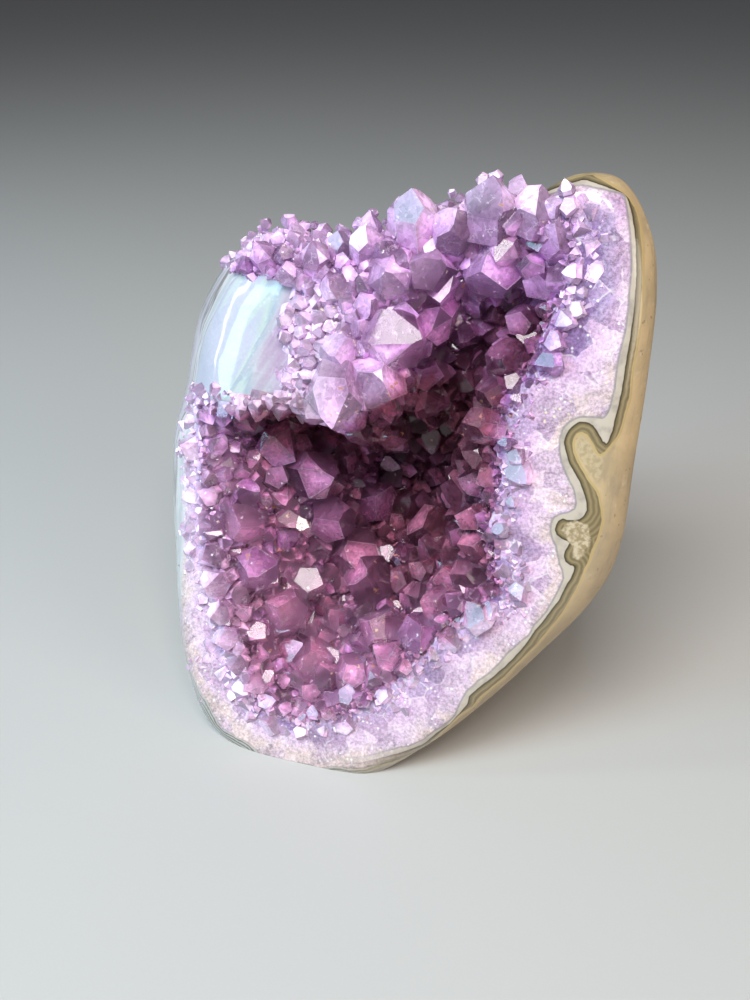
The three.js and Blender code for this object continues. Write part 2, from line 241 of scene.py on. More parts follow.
@dataclass(frozen=True)
class Nodule:
    """The stone's form: outline, rounded edge, hollow, ledge, dome, ground back and flat base.

    A row of hollow holds a corner and how steeply the hollow falls from the side after it, and a
    row of flats the way out of a flat of the grinding wheel and its distance from the centre. The
    ledge is its lower edge, its right side and how steeply each falls; the dome its lower lip,
    height and slope; the bare part its right side, bottom and top.
    """

    outline: Line = (
        (65.2, 92), (65.2, 112), (64.2, 131), (60.5, 145.5), (52.5, 155.5), (43, 156), (33, 150.5),
        (22, 148), (7, 143), (-11, 136), (-29, 137), (-43.5, 132.5), (-54, 120), (-58, 99),
        (-58.5, 78), (-56.8, 57), (-52, 37), (-46, 19), (-37, 3.5), (-22, -4), (-6, -4.5), (8, -2),
        (23, 9.5), (38.5, 26.5), (51.5, 43.5), (58.6, 53.5), (63.4, 63.5), (65.2, 73.5),
    )
    centre: tuple[float, float] = (0.0, 76.0)
    depth: float = 92.0
    back_centre: tuple[float, float] = (4.0, 62.0)
    bulge: float = 0.03
    edge_right: float = 9.0
    edge_left: float = 19.0
    edge_foot: float = 6.0
    edge_dome: float = 8.0
    flats: Rows = (
        (1, -0.02, -0.16, 67), (0.8, -0.62, -0.1, 66.5), (0.8, 0.35, -0.62, 79),
        (0.2, 0.8, -0.7, 84), (-0.6, 0.55, -0.7, 78), (-0.9, -0.1, -0.5, 66),
        (0.1, 0.15, -1, 86), (0.7, -0.2, -0.8, 80),
    )
    hollow: Rows = (
        (12.5, 25, 1.4), (25, 42, 1.5), (38.5, 56.5, 2.8), (34, 72, 3), (33, 85, 3),
        (34.5, 98, 2.8), (39, 115, 2.4), (46, 136, 1.6), (44, 143.5, 0.9), (33, 145.5, 0.75),
        (22, 144, 0.75),
        (7, 139, 0.75), (-11, 132, 0.75), (-29, 132.5, 0.8), (-39, 127.5, 0.8), (-44, 112, 0.9),
        (-44.5, 90, 0.95), (-43, 72, 1), (-40, 57, 1), (-33, 33, 0.95), (-29, 21, 0.9),
        (-22, 13.5, 0.8), (-11, 10.5, 0.8), (0, 15, 1),
    )
    hollow_depth: float = 56.0
    ledge: tuple[float, float, float, float] = (92.0, 6.0, 4.0, 3.0)
    dome: tuple[float, float, float] = (94.0, 5.6, 0.16)
    bare: tuple[float, float, float] = (-20.5, 96.8, 126.0)
    corner: float = 5.0
    inset: float = 0.3
    ragged: float = 1.3
    rim_least: float = 2.0
    halvings: int = 20
    swell_end: float = 12.0
    flat_blend: float = 4.0

    def to_hollow(self, x: Array, y: Array) -> tuple[Array, Array]:
        """Each point's distances from the hollow's sides, and whether it is inside.

        The place is first moved by two sizes of waves, so that the straight sides grow ragged.

        Args:
            x: Places to the right.
            y: Places up the face.

        Returns:
            Distances with one more axis, for the sides, and a mask.
        """
        p = np.stack([x, y], -1)
        move = [self.ragged * (waves(p, 17.0, n) + 0.5 * waves(p, 6.5, n + 2)) for n in (31, 32)]
        return Contour(tuple((a, b) for a, b, _ in self.hollow)).distances(x + move[0], y + move[1])

    def from_hollow(self, x: Array, y: Array) -> Array:
        """Distance outwards from the hollow's edge, negative inside it."""
        far, inside = self.to_hollow(x, y)
        return np.where(inside, -far.min(-1), far.min(-1))

    def outline_radius(self, angle: Array) -> Array:
        """Distance of the outline from its centre, by a centripetal Catmull-Rom curve through it.

        Args:
            angle: Directions in radians.

        Returns:
            Distances in millimetres.
        """
        p = np.array(self.outline, float)
        p0, p1, p2, p3 = (np.roll(p, s, 0)[:, None] for s in (1, 0, -1, -2))
        gap = [np.sqrt(np.linalg.norm(b - a, axis=-1, keepdims=True)) for a, b in
               ((p0, p1), (p1, p2), (p2, p3))]
        t0, t1 = 0.0, gap[0]
        t2, t3 = gap[0] + gap[1], gap[0] + gap[1] + gap[2]
        t = t1 + (t2 - t1) * np.linspace(0.0, 1.0, 30, endpoint=False)[None, :, None]

        def between(a: Array, b: Array, start: Any, end: Any) -> Array:
            """The share of the way from start to end, as a place from a to b."""
            return (end - t) / (end - start) * a + (t - start) / (end - start) * b

        a1, a2, a3 = between(p0, p1, t0, t1), between(p1, p2, t1, t2), between(p2, p3, t2, t3)
        b1, b2 = between(a1, a2, t0, t2), between(a2, a3, t1, t3)
        c = between(b1, b2, t1, t2).reshape(-1, 2)
        c -= np.array(self.centre)
        turn = np.arctan2(c[:, 1], c[:, 0])
        order = np.argsort(turn)
        return np.interp(
            angle, turn[order], np.hypot(c[:, 0], c[:, 1])[order], period=2.0 * np.pi
        )

    def edge_radius(self, angle: Array) -> Array:
        """Radius of the rounding round the face.

        The right's, blended to the left's on the left, plus the dome's extra at the upper left,
        and then blended to the foot's below.

        Args:
            angle: Directions in radians.

        Returns:
            Radii in millimetres.
        """
        left = smooth(-np.cos(angle) * 1.3, 0.0, 1.0)
        foot = smooth(-np.sin(angle) * 1.6 - 0.5, 0.0, 1.0)
        dome = smooth(angle, 2.1, 2.5) * smooth(3.1 - angle, 0.0, 0.35)
        side = self.edge_right + (self.edge_left - self.edge_right) * left + self.edge_dome * dome
        return side + (self.edge_foot - side) * foot

    def hollow_radius(self, angle: Array) -> Array:
        """Distance of the hollow's edge from the outline's centre, found by halving the step.

        Args:
            angle: Directions in radians.

        Returns:
            Distances in millimetres.
        """
        low, high = np.zeros_like(angle), self.outline_radius(angle) - self.rim_least
        for _ in range(self.halvings):
            r = (low + high) / 2.0
            inside = self.from_hollow(*self.at(angle, r)) < 0.0
            low, high = np.where(inside, r, low), np.where(inside, high, r)
        return low

    def at(self, angle: Array, radius: Array) -> tuple[Array, Array]:
        """The face's x and y in a direction and at a distance from the outline's centre."""
        return self.centre[0] + radius * np.cos(angle), self.centre[1] + radius * np.sin(angle)

    def hollow_drop(self, x: Array, y: Array) -> Array:
        """Depth of the hollow, 0 where the stone is whole.

        The least of each side's distance times its drop, rounded where it meets the hollow's
        depth and the ledge. The ledge cuts it off in the upper left: the greater of the drops
        below its lower edge and past its right side, at least 0.5 mm.

        Args:
            x: Places to the right.
            y: Places up the face.

        Returns:
            Depths in millimetres.
        """
        far, inside = self.to_hollow(x, y)
        drops = np.array([d for _, _, d in self.hollow])
        depth = soft_min(np.full(x.shape, self.hollow_depth), (far * drops).min(-1), self.corner)
        _, side, foot_drop, side_drop = self.ledge
        under, beside = foot_drop * (self.ledge_foot(x) - y), side_drop * (x - side)
        ledge = np.maximum(np.maximum(under, beside), 0.5)
        return np.where(inside, np.maximum(soft_min(depth, ledge, self.corner), 0.0), 0.0)

    def ledge_foot(self, x: Array) -> Array:
        """Height of the ledge's lower edge.

        It is 4.4 mm up on the left, falls by 0.3 of the way past x = -24, is wavy by 1.3 mm on the
        right, and rises there by the lift.

        Args:
            x: Places to the right.

        Returns:
            Places up the face.
        """
        foot = self.ledge[0] + 4.4 * smooth(-x, 9.0, 17.0) - 0.3 * np.maximum(-24.0 - x, 0.0)
        return foot + 1.3 * np.sin(x / 2.9) * smooth(x, -12.0, -6.0) + self.lift(x)

    def lift(self, x: Array) -> Array:
        """How far the ledge's lower edge rises past x = -5: by 0.9 of the way, for 13 mm."""
        return 0.9 * np.clip(x + 5.0, 0.0, 13.0)

    def front_depth(self, x: Array, y: Array) -> Array:
        """Depth of the front surface behind the face plane: hollow, less dome, plus rounding.

        The dome fades out where the hollow is 12 mm deep. The rounding is r·(1 - √(1 - out²))
        with the edge's radius r; out goes from 0 where the rounding starts to 1 at the outline.

        Args:
            x: Places to the right.
            y: Places up the face.

        Returns:
            Depths in millimetres.
        """
        dx, dy = x - self.centre[0], y - self.centre[1]
        angle = np.arctan2(dy, dx)
        radius = self.edge_radius(angle)
        out = np.clip(1.0 - (self.outline_radius(angle) - np.hypot(dx, dy)) / radius, 0.0, 1.0)
        hollow = self.hollow_drop(x, y)
        swell = self.swell(x, y) * smooth(1.0 - hollow / self.swell_end, 0.0, 1.0)
        return hollow - swell + radius * (1.0 - np.sqrt(1.0 - out * out))

    def swell(self, x: Array, y: Array) -> Array:
        """How far the polished dome stands out of the face plane.

        Most at its lower lip, less towards the top, 0 past its sides, and 0.16 mm more on one
        narrow ridge down its length.

        Args:
            x: Places to the right.
            y: Places up the face.

        Returns:
            Heights in millimetres.
        """
        lip, high, slope = self.dome
        rise = np.maximum(high - slope * (y - lip), 0.0)
        side = smooth(14.0 - x, 0.0, 22.0) * smooth(x, -58.0, -36.0)
        line = np.exp(-(((x + 23.0 + 0.06 * (y - 105.0)) / 1.0) ** 2))
        ridge = 0.16 * line * smooth(y, 96.0, 104.0) * smooth(128.0 - y, 0.0, 8.0)
        return (rise * side + ridge) * smooth(y, lip - 5.0, lip + 1.5)

    def cover(self, x: Array, y: Array) -> Array:
        """How far a point is inside the part that crystals cover.

        The lesser of the distances inside the hollow and outside the bare box on its upper left,
        whose right side is wavy by 2 mm and whose lower side slopes.

        Args:
            x: Places to the right.
            y: Places up the face.

        Returns:
            Millimetres, negative on bare stone.
        """
        right, bottom, top = self.bare
        right = right + 2.0 * waves(np.stack([x, y], -1), 9.0, 35)
        bottom = bottom + 0.3 * (x + 28.0)
        bare = np.minimum(np.minimum(right - x, y - bottom), top - y)
        return np.minimum(-self.from_hollow(x, y), -bare)

    def painted_shade(self, x: Array, y: Array) -> Array:
        """How much painted shade falls in the hollow.

        The greatest of four: a share of the depth that is larger to the right, up to 1 under the
        ledge, up to 0.5 on the ledge's lip and up to 0.8 on the right wall. This is where shade
        falls in the hollow, painted into the colours as darkness.

        Args:
            x: Places to the right.
            y: Places up the face.

        Returns:
            0 at the edge to 1 in the dark.
        """
        drop = self.hollow_drop(x, y)
        right = smooth(x + 0.25 * (y - 75.0), -24.0, 12.0)
        under = 0.6 * smooth(y + 0.35 * x, 56.0, 74.0) + 0.4 * smooth(y, 76.0, 86.0)
        under = under * smooth(x, -38.0, -27.0) * smooth(drop, 3.0, 10.0)
        under = under * smooth(97.0 + self.lift(x) - y, 0.0, 3.5)
        lip = 0.5 * smooth(x, -36.0, -28.0) * smooth(-8.0 - x, 0.0, 6.0)
        lip = lip * smooth(102.0 - y, 0.0, 5.0) * smooth(y, 92.0, 96.0)
        under = np.maximum(under, lip)
        wall = 0.8 * smooth(x, 20.0, 28.0) * smooth(y, 80.0, 96.0) * smooth(130.0 - y, 0.0, 8.0)
        deep_shade = smooth(drop, 3.0, 30.0) * (0.22 + 0.68 * right)
        return np.maximum(np.maximum(deep_shade, under), wall * smooth(drop, 0.5, 4.0))

    def ground(self, points: Array) -> Array:
        """Points moved back to each flat of the wheel that they stand out of, with a soft edge.

        Args:
            points: Places in the face's frame.

        Returns:
            The moved places.
        """
        offset = np.array([*self.centre, 0.0])
        p = points - offset
        for *out, reach in self.flats:
            way = unit(np.array(out, float))
            along = p @ way
            cut = soft_min(along, np.full_like(along, reach), self.flat_blend)
            p = p + (cut - along)[..., None] * way
        return p + offset


NODULE = Nodule()


@dataclass(frozen=True)
class Banding:
    """The agate's layers: three lines in the face from the top right corner down to the foot.

    Along the top, the left and the foot, one line closes all three, pushed out by as much as each
    layer lies outside the quartz.
    """

    quartz_end: Line = (
        (53.9, 151.7), (55.1, 148.5), (56.2, 144.7), (57.3, 140.0), (58.1, 135.3), (58.4, 131.1),
        (58.7, 126.6), (58.8, 122.4), (58.4, 118.1), (58.2, 114.1), (58.3, 108.9), (58.1, 106.0),
        (57.8, 104.0), (57.3, 102.3), (56.6, 101.6), (55.3, 101.6), (53.4, 101.5), (51.2, 101.2),
        (49.4, 100.0), (48.1, 98.2), (47.7, 95.8), (48.0, 93.2), (48.6, 91.0), (49.7, 88.8),
        (51.1, 86.6), (52.4, 84.8), (53.1, 82.9), (53.5, 81.3), (53.3, 79.7), (51.8, 78.6),
        (50.1, 78.0), (48.9, 77.0), (48.4, 75.4), (48.6, 73.7), (49.2, 72.0), (50.3, 70.5),
        (51.0, 68.5), (51.7, 66.2), (52.7, 64.6), (53.1, 62.9), (52.7, 61.1), (51.9, 58.4),
        (50.2, 53.6), (47.7, 49.7), (46.9, 47.1), (45.0, 44.9), (42.1, 41.2), (40.3, 38.0),
        (38.3, 35.2), (35.9, 32.7), (33.6, 29.7), (32.4, 26.6), (31.2, 22.3), (29.1, 19.2),
        (26.6, 17.1), (23.7, 13.8), (20.4, 11.5), (18.1, 10.7),
    )
    white_end: Line = (
        (54.2, 151.5), (55.6, 148.6), (57.0, 144.8), (58.1, 140.1), (58.9, 135.4), (59.4, 131.2),
        (59.7, 126.7), (59.8, 122.5), (59.8, 117.6), (59.7, 113.6), (59.7, 109.1), (59.6, 106.8),
        (59.4, 104.5), (59.2, 102.6), (59.1, 100.9), (59.0, 99.3), (58.7, 98.0), (58.5, 97.0),
        (58.2, 96.1), (57.3, 96.5), (56.7, 97.4), (56.1, 98.1), (55.3, 99.2), (54.6, 99.9),
        (53.6, 100.4), (52.4, 100.5), (51.3, 100.3), (50.5, 99.7), (49.6, 98.7), (49.0, 97.6),
        (48.6, 96.3), (48.6, 95.0), (49.1, 93.4), (49.7, 91.8), (50.5, 90.2), (51.5, 89.0),
        (52.4, 87.8), (53.4, 86.5), (54.2, 84.8), (55.1, 83.2), (55.7, 81.6), (56.0, 80.0),
        (55.5, 78.7), (54.6, 77.5), (53.3, 77.2), (51.8, 77.0), (50.8, 77.3), (49.9, 76.6),
        (49.4, 75.5), (49.3, 74.1), (49.9, 73.0), (51.2, 72.2), (52.4, 71.9), (53.2, 71.7),
        (52.8, 70.6), (52.3, 69.5), (52.3, 68.1), (52.8, 66.9), (54.0, 66.2), (55.1, 66.2),
        (55.0, 64.9), (54.6, 63.1), (53.9, 61.5), (53.3, 59.6), (52.6, 57.3), (51.4, 55.0),
        (49.7, 51.5), (47.9, 48.5), (46.4, 45.0), (44.0, 40.9), (41.7, 37.7), (39.1, 34.4),
        (36.4, 31.5), (34.1, 28.6), (33.9, 26.3), (31.9, 22.8), (29.8, 19.4), (26.9, 16.5),
        (24.0, 12.6), (20.4, 10.4), (18.1, 9.2),
    )
    olive_end: Line = (
        (54.6, 151.6), (57.0, 148.8), (58.5, 145.1), (59.7, 140.3), (60.5, 135.6), (61.1, 131.4),
        (61.4, 126.9), (61.6, 122.7), (61.7, 117.8), (61.5, 113.8), (61.8, 109.3), (61.9, 107.0),
        (61.7, 105.1), (61.4, 103.1), (61.2, 101.1), (61.0, 99.5), (60.7, 98.2), (59.8, 96.4),
        (58.9, 95.0), (58.3, 94.0), (57.5, 93.1), (56.5, 93.4), (55.7, 94.3), (55.1, 95.4),
        (54.3, 96.4), (53.4, 97.3), (52.3, 97.7), (51.4, 97.3), (50.9, 96.3), (50.9, 94.9),
        (51.3, 93.3), (52.1, 91.8), (53.1, 90.3), (54.3, 88.8), (55.4, 87.3), (56.6, 86.1),
        (57.7, 84.9), (58.4, 83.6), (58.8, 82.3), (59.5, 80.3), (60.0, 77.9), (59.8, 75.2),
        (59.4, 72.7), (58.7, 70.5), (58.4, 68.0), (57.7, 65.8), (57.1, 62.8), (56.2, 59.7),
        (55.2, 57.0), (53.7, 53.1), (51.3, 48.8), (48.9, 44.4), (46.7, 41.3), (44.5, 38.1),
        (42.0, 34.4), (39.3, 31.2), (37.0, 28.3), (35.3, 25.2), (32.6, 22.8), (30.1, 19.1),
        (26.9, 14.6), (23.4, 9.3), (20.1, 7.5), (17.9, 6.0),
    )
    eye: Line = (
        (51.6, 96.4), (52.7, 97.2), (54.3, 96.1), (55.4, 94.6), (56.5, 93.2), (57.8, 93.1),
        (58.4, 91.3), (58.4, 88.7), (57.9, 85.9), (57.2, 86.5), (55.3, 88.6), (53.3, 90.6),
        (51.9, 93.1), (51.3, 95.0),
    )
    lens: Line = (
        (50.8, 75.9), (53.6, 77.8), (57.2, 77.0), (58.6, 73.0), (57.2, 68.8), (55.9, 67.0),
        (53.6, 67.5), (53.6, 70.5), (51.5, 72.6), (50.3, 74.3),
    )
    rest: Line = (
        (8, 5.5), (-4, 2.5), (-19, 2.5), (-31, 8), (-40.5, 21), (-46, 38), (-50.5, 57), (-52, 78),
        (-51, 99), (-46, 119), (-38, 131), (-28, 137), (-11, 137), (7, 141), (22, 145.5),
        (33, 148.5), (44, 153),
    )
    behind: float = 0.9

    def outwards(self, points: Array, line: Line, push: float) -> Array:
        """How far each point is out from a line of the agate, carried on behind the face.

        The distance from the closed line in the face, plus a share of the depth past its edge.

        Args:
            points: Places in the face's frame.
            line: The line down the right side.
            push: How far the rest of the way round is moved out for this line.

        Returns:
            Millimetres, negative inside the line.
        """
        middle = np.array(NODULE.centre)
        rest = np.array(self.rest, float)
        rest = rest + unit(rest - middle) * push
        closed = Contour((*line, *map(tuple, rest)))
        back = np.maximum(-points[:, 2] - FRONT_DEPTH, 0.0)
        return closed.signed(points[:, 0], points[:, 1]) + self.behind * back


BANDING = Banding()


def new_mesh(name: str, points: Array, loops: Array, totals: Array) -> bpy.types.Object:
    """Makes an object with flat faces from whole arrays.

    Args:
        name: The object's name.
        points: Places in the row's frame, in metres.
        loops: The faces' point numbers, one face after another.
        totals: How many points each face has.

    Returns:
        The object, linked to the scene.
    """
    mesh = bpy.data.meshes.new(name)
    mesh.vertices.add(len(points))
    mesh.vertices.foreach_set("co", points.astype(np.float32).ravel())
    mesh.loops.add(len(loops))
    mesh.loops.foreach_set("vertex_index", loops.astype(np.int32))
    mesh.polygons.add(len(totals))
    mesh.polygons.foreach_set("loop_start", (np.cumsum(totals) - totals).astype(np.int32))
    mesh.update(calc_edges=True)
    mesh.shade_flat()
    item = bpy.data.objects.new(name, mesh)
    bpy.context.scene.collection.objects.link(item)
    return item


def rewrite(item: bpy.types.Object, change: Callable[[bmesh.types.BMesh], None]) -> None:
    """Fills the holes of an object's mesh, changes it, and turns its normals outwards.

    Its triangles and quads are shaded smooth, and its larger faces flat.

    Args:
        item: The object.
        change: What is done to the mesh once its holes are filled.
    """
    shape = bmesh.new()
    shape.from_mesh(item.data)
    fill_holes(shape)
    change(shape)
    bmesh.ops.recalc_face_normals(shape, faces=shape.faces[:])
    shape.to_mesh(item.data)
    shape.free()
    faces = item.data.polygons
    faces.foreach_set("use_smooth", read(faces, "loop_total", len(faces), np.int32) <= QUAD)


def fill_holes(shape: bmesh.types.BMesh) -> None:
    """Puts a face in every open loop of a mesh."""
    bmesh.ops.holes_fill(shape, edges=[e for e in shape.edges if e.is_boundary])


def read(source: Any, name: str, count: int, kind: type = np.float32) -> Array:
    """Reads one property of all of a mesh's elements.

    Args:
        source: The mesh's points, loops, faces or an attribute's data.
        name: The property.
        count: How many numbers there are.
        kind: The numbers' type.

    Returns:
        The numbers in one row.
    """
    values = np.empty(count, kind)
    source.foreach_get(name, values)
    return values


def places(item: bpy.types.Object) -> Array:
    """An object's points in the face's frame, in millimetres."""
    flat = read(item.data.vertices, "co", len(item.data.vertices) * 3)
    return FACE.to_face(flat.reshape(-1, 3).astype(float))


def paint(item: bpy.types.Object, name: str, values: Array,
          domain: Domain = Domain.POINT) -> None:
    """Stores numbers as an attribute that a material reads.

    Args:
        item: The object.
        name: The attribute's name.
        values: The numbers.
        domain: What there is one number for.
    """
    layer = item.data.attributes.new(name, "FLOAT", domain.value)
    layer.data.foreach_set("value", values.astype(np.float32))


def grid(name: str, points: Array, wrap: bool = True) -> bpy.types.Object:
    """Makes an object of quads between rows of points.

    Args:
        name: The object's name.
        points: Places in the row's frame, in metres: rows, points of a row, coordinates.
        wrap: Whether the last point of a row is joined to its first.

    Returns:
        The object.
    """
    rows, spokes = points.shape[:2]
    columns = spokes if wrap else spokes - 1
    i, k = np.meshgrid(np.arange(rows - 1), np.arange(columns), indexing="ij")
    after = (k + 1) % spokes
    inner, outer = i * spokes, (i + 1) * spokes
    loops = np.stack([inner + k, outer + k, outer + after, inner + after], -1).ravel()
    return new_mesh(name, points.reshape(-1, 3), loops, np.full(len(loops) // QUAD, QUAD))


@dataclass
class StoneShell:
    """The stone: the polished rim and dome, the ground skin, the back and the flat base."""

    spokes: int = 600
    hollow_rings: int = 26
    rim_rings: int = 44
    edge_rings: int = 16
    back_rings: int = 46
    below: float = 0.2
    close_more: float = 1.6
    close_at: float = 0.14
    close_half: float = 0.62
    taper: float = 0.62
    lumps: Rows = ((0.35, 26.0, 4), (0.12, 7.0, 5))
    last_turn: float = 0.9995
    ring: float = 60.0
    far: float = 30.0
    outside: float = -9.0
    name: str = "stone_body"

    def front(self, angle: Array, radius: Array) -> Array:
        """Points of the front surface in a direction and at a distance from the centre."""
        x, y = NODULE.at(angle, radius)
        return np.stack([x, y, -self.below - NODULE.front_depth(x, y)], -1)

    def back(self, angle: Array, turn: Array) -> Array:
        """Points of the back: rings that shrink as cos(turn)^taper while they go back as sin(turn).

        They bulge by a share of sin(2·turn), are ground flat in places and have two sizes of lumps.

        Args:
            angle: Directions round the outline.
            turn: 0 at the face's edge to a quarter turn at the back.

        Returns:
            Places in the face's frame.
        """
        size = np.cos(turn) ** self.taper * (1.0 + NODULE.bulge * np.sin(2.0 * turn))
        back = np.sin(turn)
        radius = (NODULE.outline_radius(angle) - NODULE.inset) * size
        cx = NODULE.centre[0] + (NODULE.back_centre[0] - NODULE.centre[0]) * back
        cy = NODULE.centre[1] + (NODULE.back_centre[1] - NODULE.centre[1]) * back
        edge = NODULE.edge_radius(angle)
        z = -(edge + (NODULE.depth - NODULE.inset - edge) * back)
        points = np.stack([cx + radius * np.cos(angle), cy + radius * np.sin(angle), z], -1)
        lumps = sum(high * waves(points, length, seed) for high, length, seed in self.lumps)
        fade = smooth(back, 0.02, 0.3)[..., None]
        core = np.array([cx.mean(), cy.mean(), -NODULE.depth / 2.0])
        return NODULE.ground(points) + unit(points - core) * (lumps[..., None] - 0.5) * fade

    def directions(self) -> Array:
        """The spokes' directions: up to 2.6 times as close beside the agate's curl as elsewhere.

        Returns:
            Angles from -pi to pi, at even steps of the running sum of the density.
        """
        fine = np.linspace(-np.pi, np.pi, 4001)
        near = smooth(self.close_half - np.abs(fine - self.close_at), 0.0, 0.25)
        dense = 1.0 + self.close_more * near
        total = np.concatenate([[0.0], np.cumsum((dense[1:] + dense[:-1]) / 2.0)])
        return np.interp(np.arange(self.spokes) / self.spokes * total[-1], total, fine)

    def surface(self) -> bpy.types.Object:
        """Builds the closed surface and cuts it flat at the base.

        Rings of spokes run out over the hollow, the rim and the rounded edge, then over the back.

        Returns:
            The stone's object.
        """
        angle = self.directions()
        outer = NODULE.outline_radius(angle) - NODULE.inset
        hollow = NODULE.hollow_radius(angle)
        flat = np.maximum(outer - NODULE.edge_radius(angle), hollow + 1.0)

        def rows(count: int) -> Array:
            """Shares of the way from one ring to the last, as a column."""
            return np.arange(1, count + 1)[:, None] / count

        radii = np.concatenate([
            rows(self.hollow_rings) * hollow,
            hollow + rows(self.rim_rings) * (flat - hollow),
            flat + np.sin(rows(self.edge_rings) * np.pi / 2.0) * (outer - flat),
        ])
        turns = rows(self.back_rings)[:-1] * np.pi / 2.0
        turns = np.concatenate([turns, [[np.pi / 2.0 * self.last_turn]]])
        every = np.broadcast_to(angle, (len(turns), self.spokes))
        rings = np.concatenate([
            self.front(np.broadcast_to(angle, radii.shape), radii),
            self.back(every, np.broadcast_to(turns, every.shape)),
        ])
        item = grid(self.name, FACE.to_row(rings))
        rewrite(item, self.cut_base)
        return item

    def cut_base(self, shape: bmesh.types.BMesh) -> None:
        """Cuts a mesh at the floor and fills the cut.

        Args:
            shape: The mesh.
        """
        everything = shape.verts[:] + shape.edges[:] + shape.faces[:]
        bmesh.ops.bisect_plane(shape, geom=everything, dist=1e-7, plane_co=(0, 0, 0),
                               plane_no=(0, 0, -1), clear_outer=True)
        fill_holes(shape)

    def mark(self, item: bpy.types.Object) -> None:
        """Stores what the finish needs to know about each point of the stone.

        The distances out from the agate's three lines, the place in the face, the distances into
        the agate's two round spots and out from the hollow, the share of the way from the hollow
        to the agate, the hollow's painted shade, the shares of the dome and of the warm right side,
        the direction from the middle and the depth behind the face plane.

        Args:
            item: The stone.
        """
        p = places(item)
        x, y, behind = p[:, 0], p[:, 1], -p[:, 2]
        from_hollow = -NODULE.cover(x, y)
        angle = np.arctan2(y - NODULE.centre[1], x - NODULE.centre[0])
        for name, line, push in (("white", BANDING.quartz_end, 0.0),
                                 ("olive", BANDING.white_end, 1.2),
                                 ("gold", BANDING.olive_end, 3.4)):
            paint(item, name, BANDING.outwards(p, line, push))
        front = behind < FRONT_DEPTH
        paint(item, "face_x", x)
        paint(item, "face_y", y)
        for name, spot in (("eye", BANDING.eye), ("lens", BANDING.lens)):
            paint(item, name, np.where(front, -Contour(spot).signed(x, y), self.outside))
        on_front = np.abs(p[:, 2] + self.below + NODULE.front_depth(x, y)) < 0.5
        near = on_front | (behind < self.far) & (from_hollow > 0.5)
        rim = np.where(near, from_hollow, self.far)
        paint(item, "rim", rim)
        inside = np.maximum(-BANDING.outwards(p, BANDING.quartz_end, 0.0), 0.0)
        paint(item, "across", np.maximum(rim, 0.0) / np.maximum(rim + inside, 1.0))
        # Painted shade: how dark the colours are made where shade falls in the hollow.
        paint(item, "shade", NODULE.painted_shade(x, y))
        dome = smooth(-8.0 - x, 0.0, 8.0) * smooth(y, 90.0, 93.0) * smooth(132.0 - y, 0.0, 6.0)
        paint(item, "dome", np.where(front, dome, 0.0))
        paint(item, "warm", smooth(x + 0.25 * (y - 40.0), -18.0, 22.0))
        paint(item, "round_x", self.ring * np.cos(angle))
        paint(item, "round_y", self.ring * np.sin(angle))
        paint(item, "behind", behind)

    def build(self) -> bpy.types.Object:
        """Builds, marks and dresses the stone.

        Returns:
            The stone's object.
        """
        item = self.surface()
        self.mark(item)
        item.data.materials.append(StoneFinish().material())
        return item


@dataclass
class Seeds:
    """Where crystals grow: root, way, half width, length, spin and width, a row to a crystal."""

    root: Array
    way: Array
    half: Array
    long: Array
    spin: Array
    wide: Array

    def joined(self, other: "Seeds") -> "Seeds":
        """These seeds followed by the other's."""
        pairs = ((getattr(self, name), getattr(other, name)) for name in self.__dict__)
        return Seeds(*(np.concatenate(pair) for pair in pairs))

    def picked(self, mask: Array) -> "Seeds":
        """The seeds that a mask or a list of numbers picks."""
        return Seeds(*(getattr(self, n)[mask] for n in self.__dict__))


def habit(item: Array) -> tuple[Array, Array]:
    """Each crystal's spin about its length, and its width one way over the other."""
    return 2.0 * np.pi * chance(item, Draw.SPIN), 0.82 + 0.28 * chance(item, Draw.WIDTH)


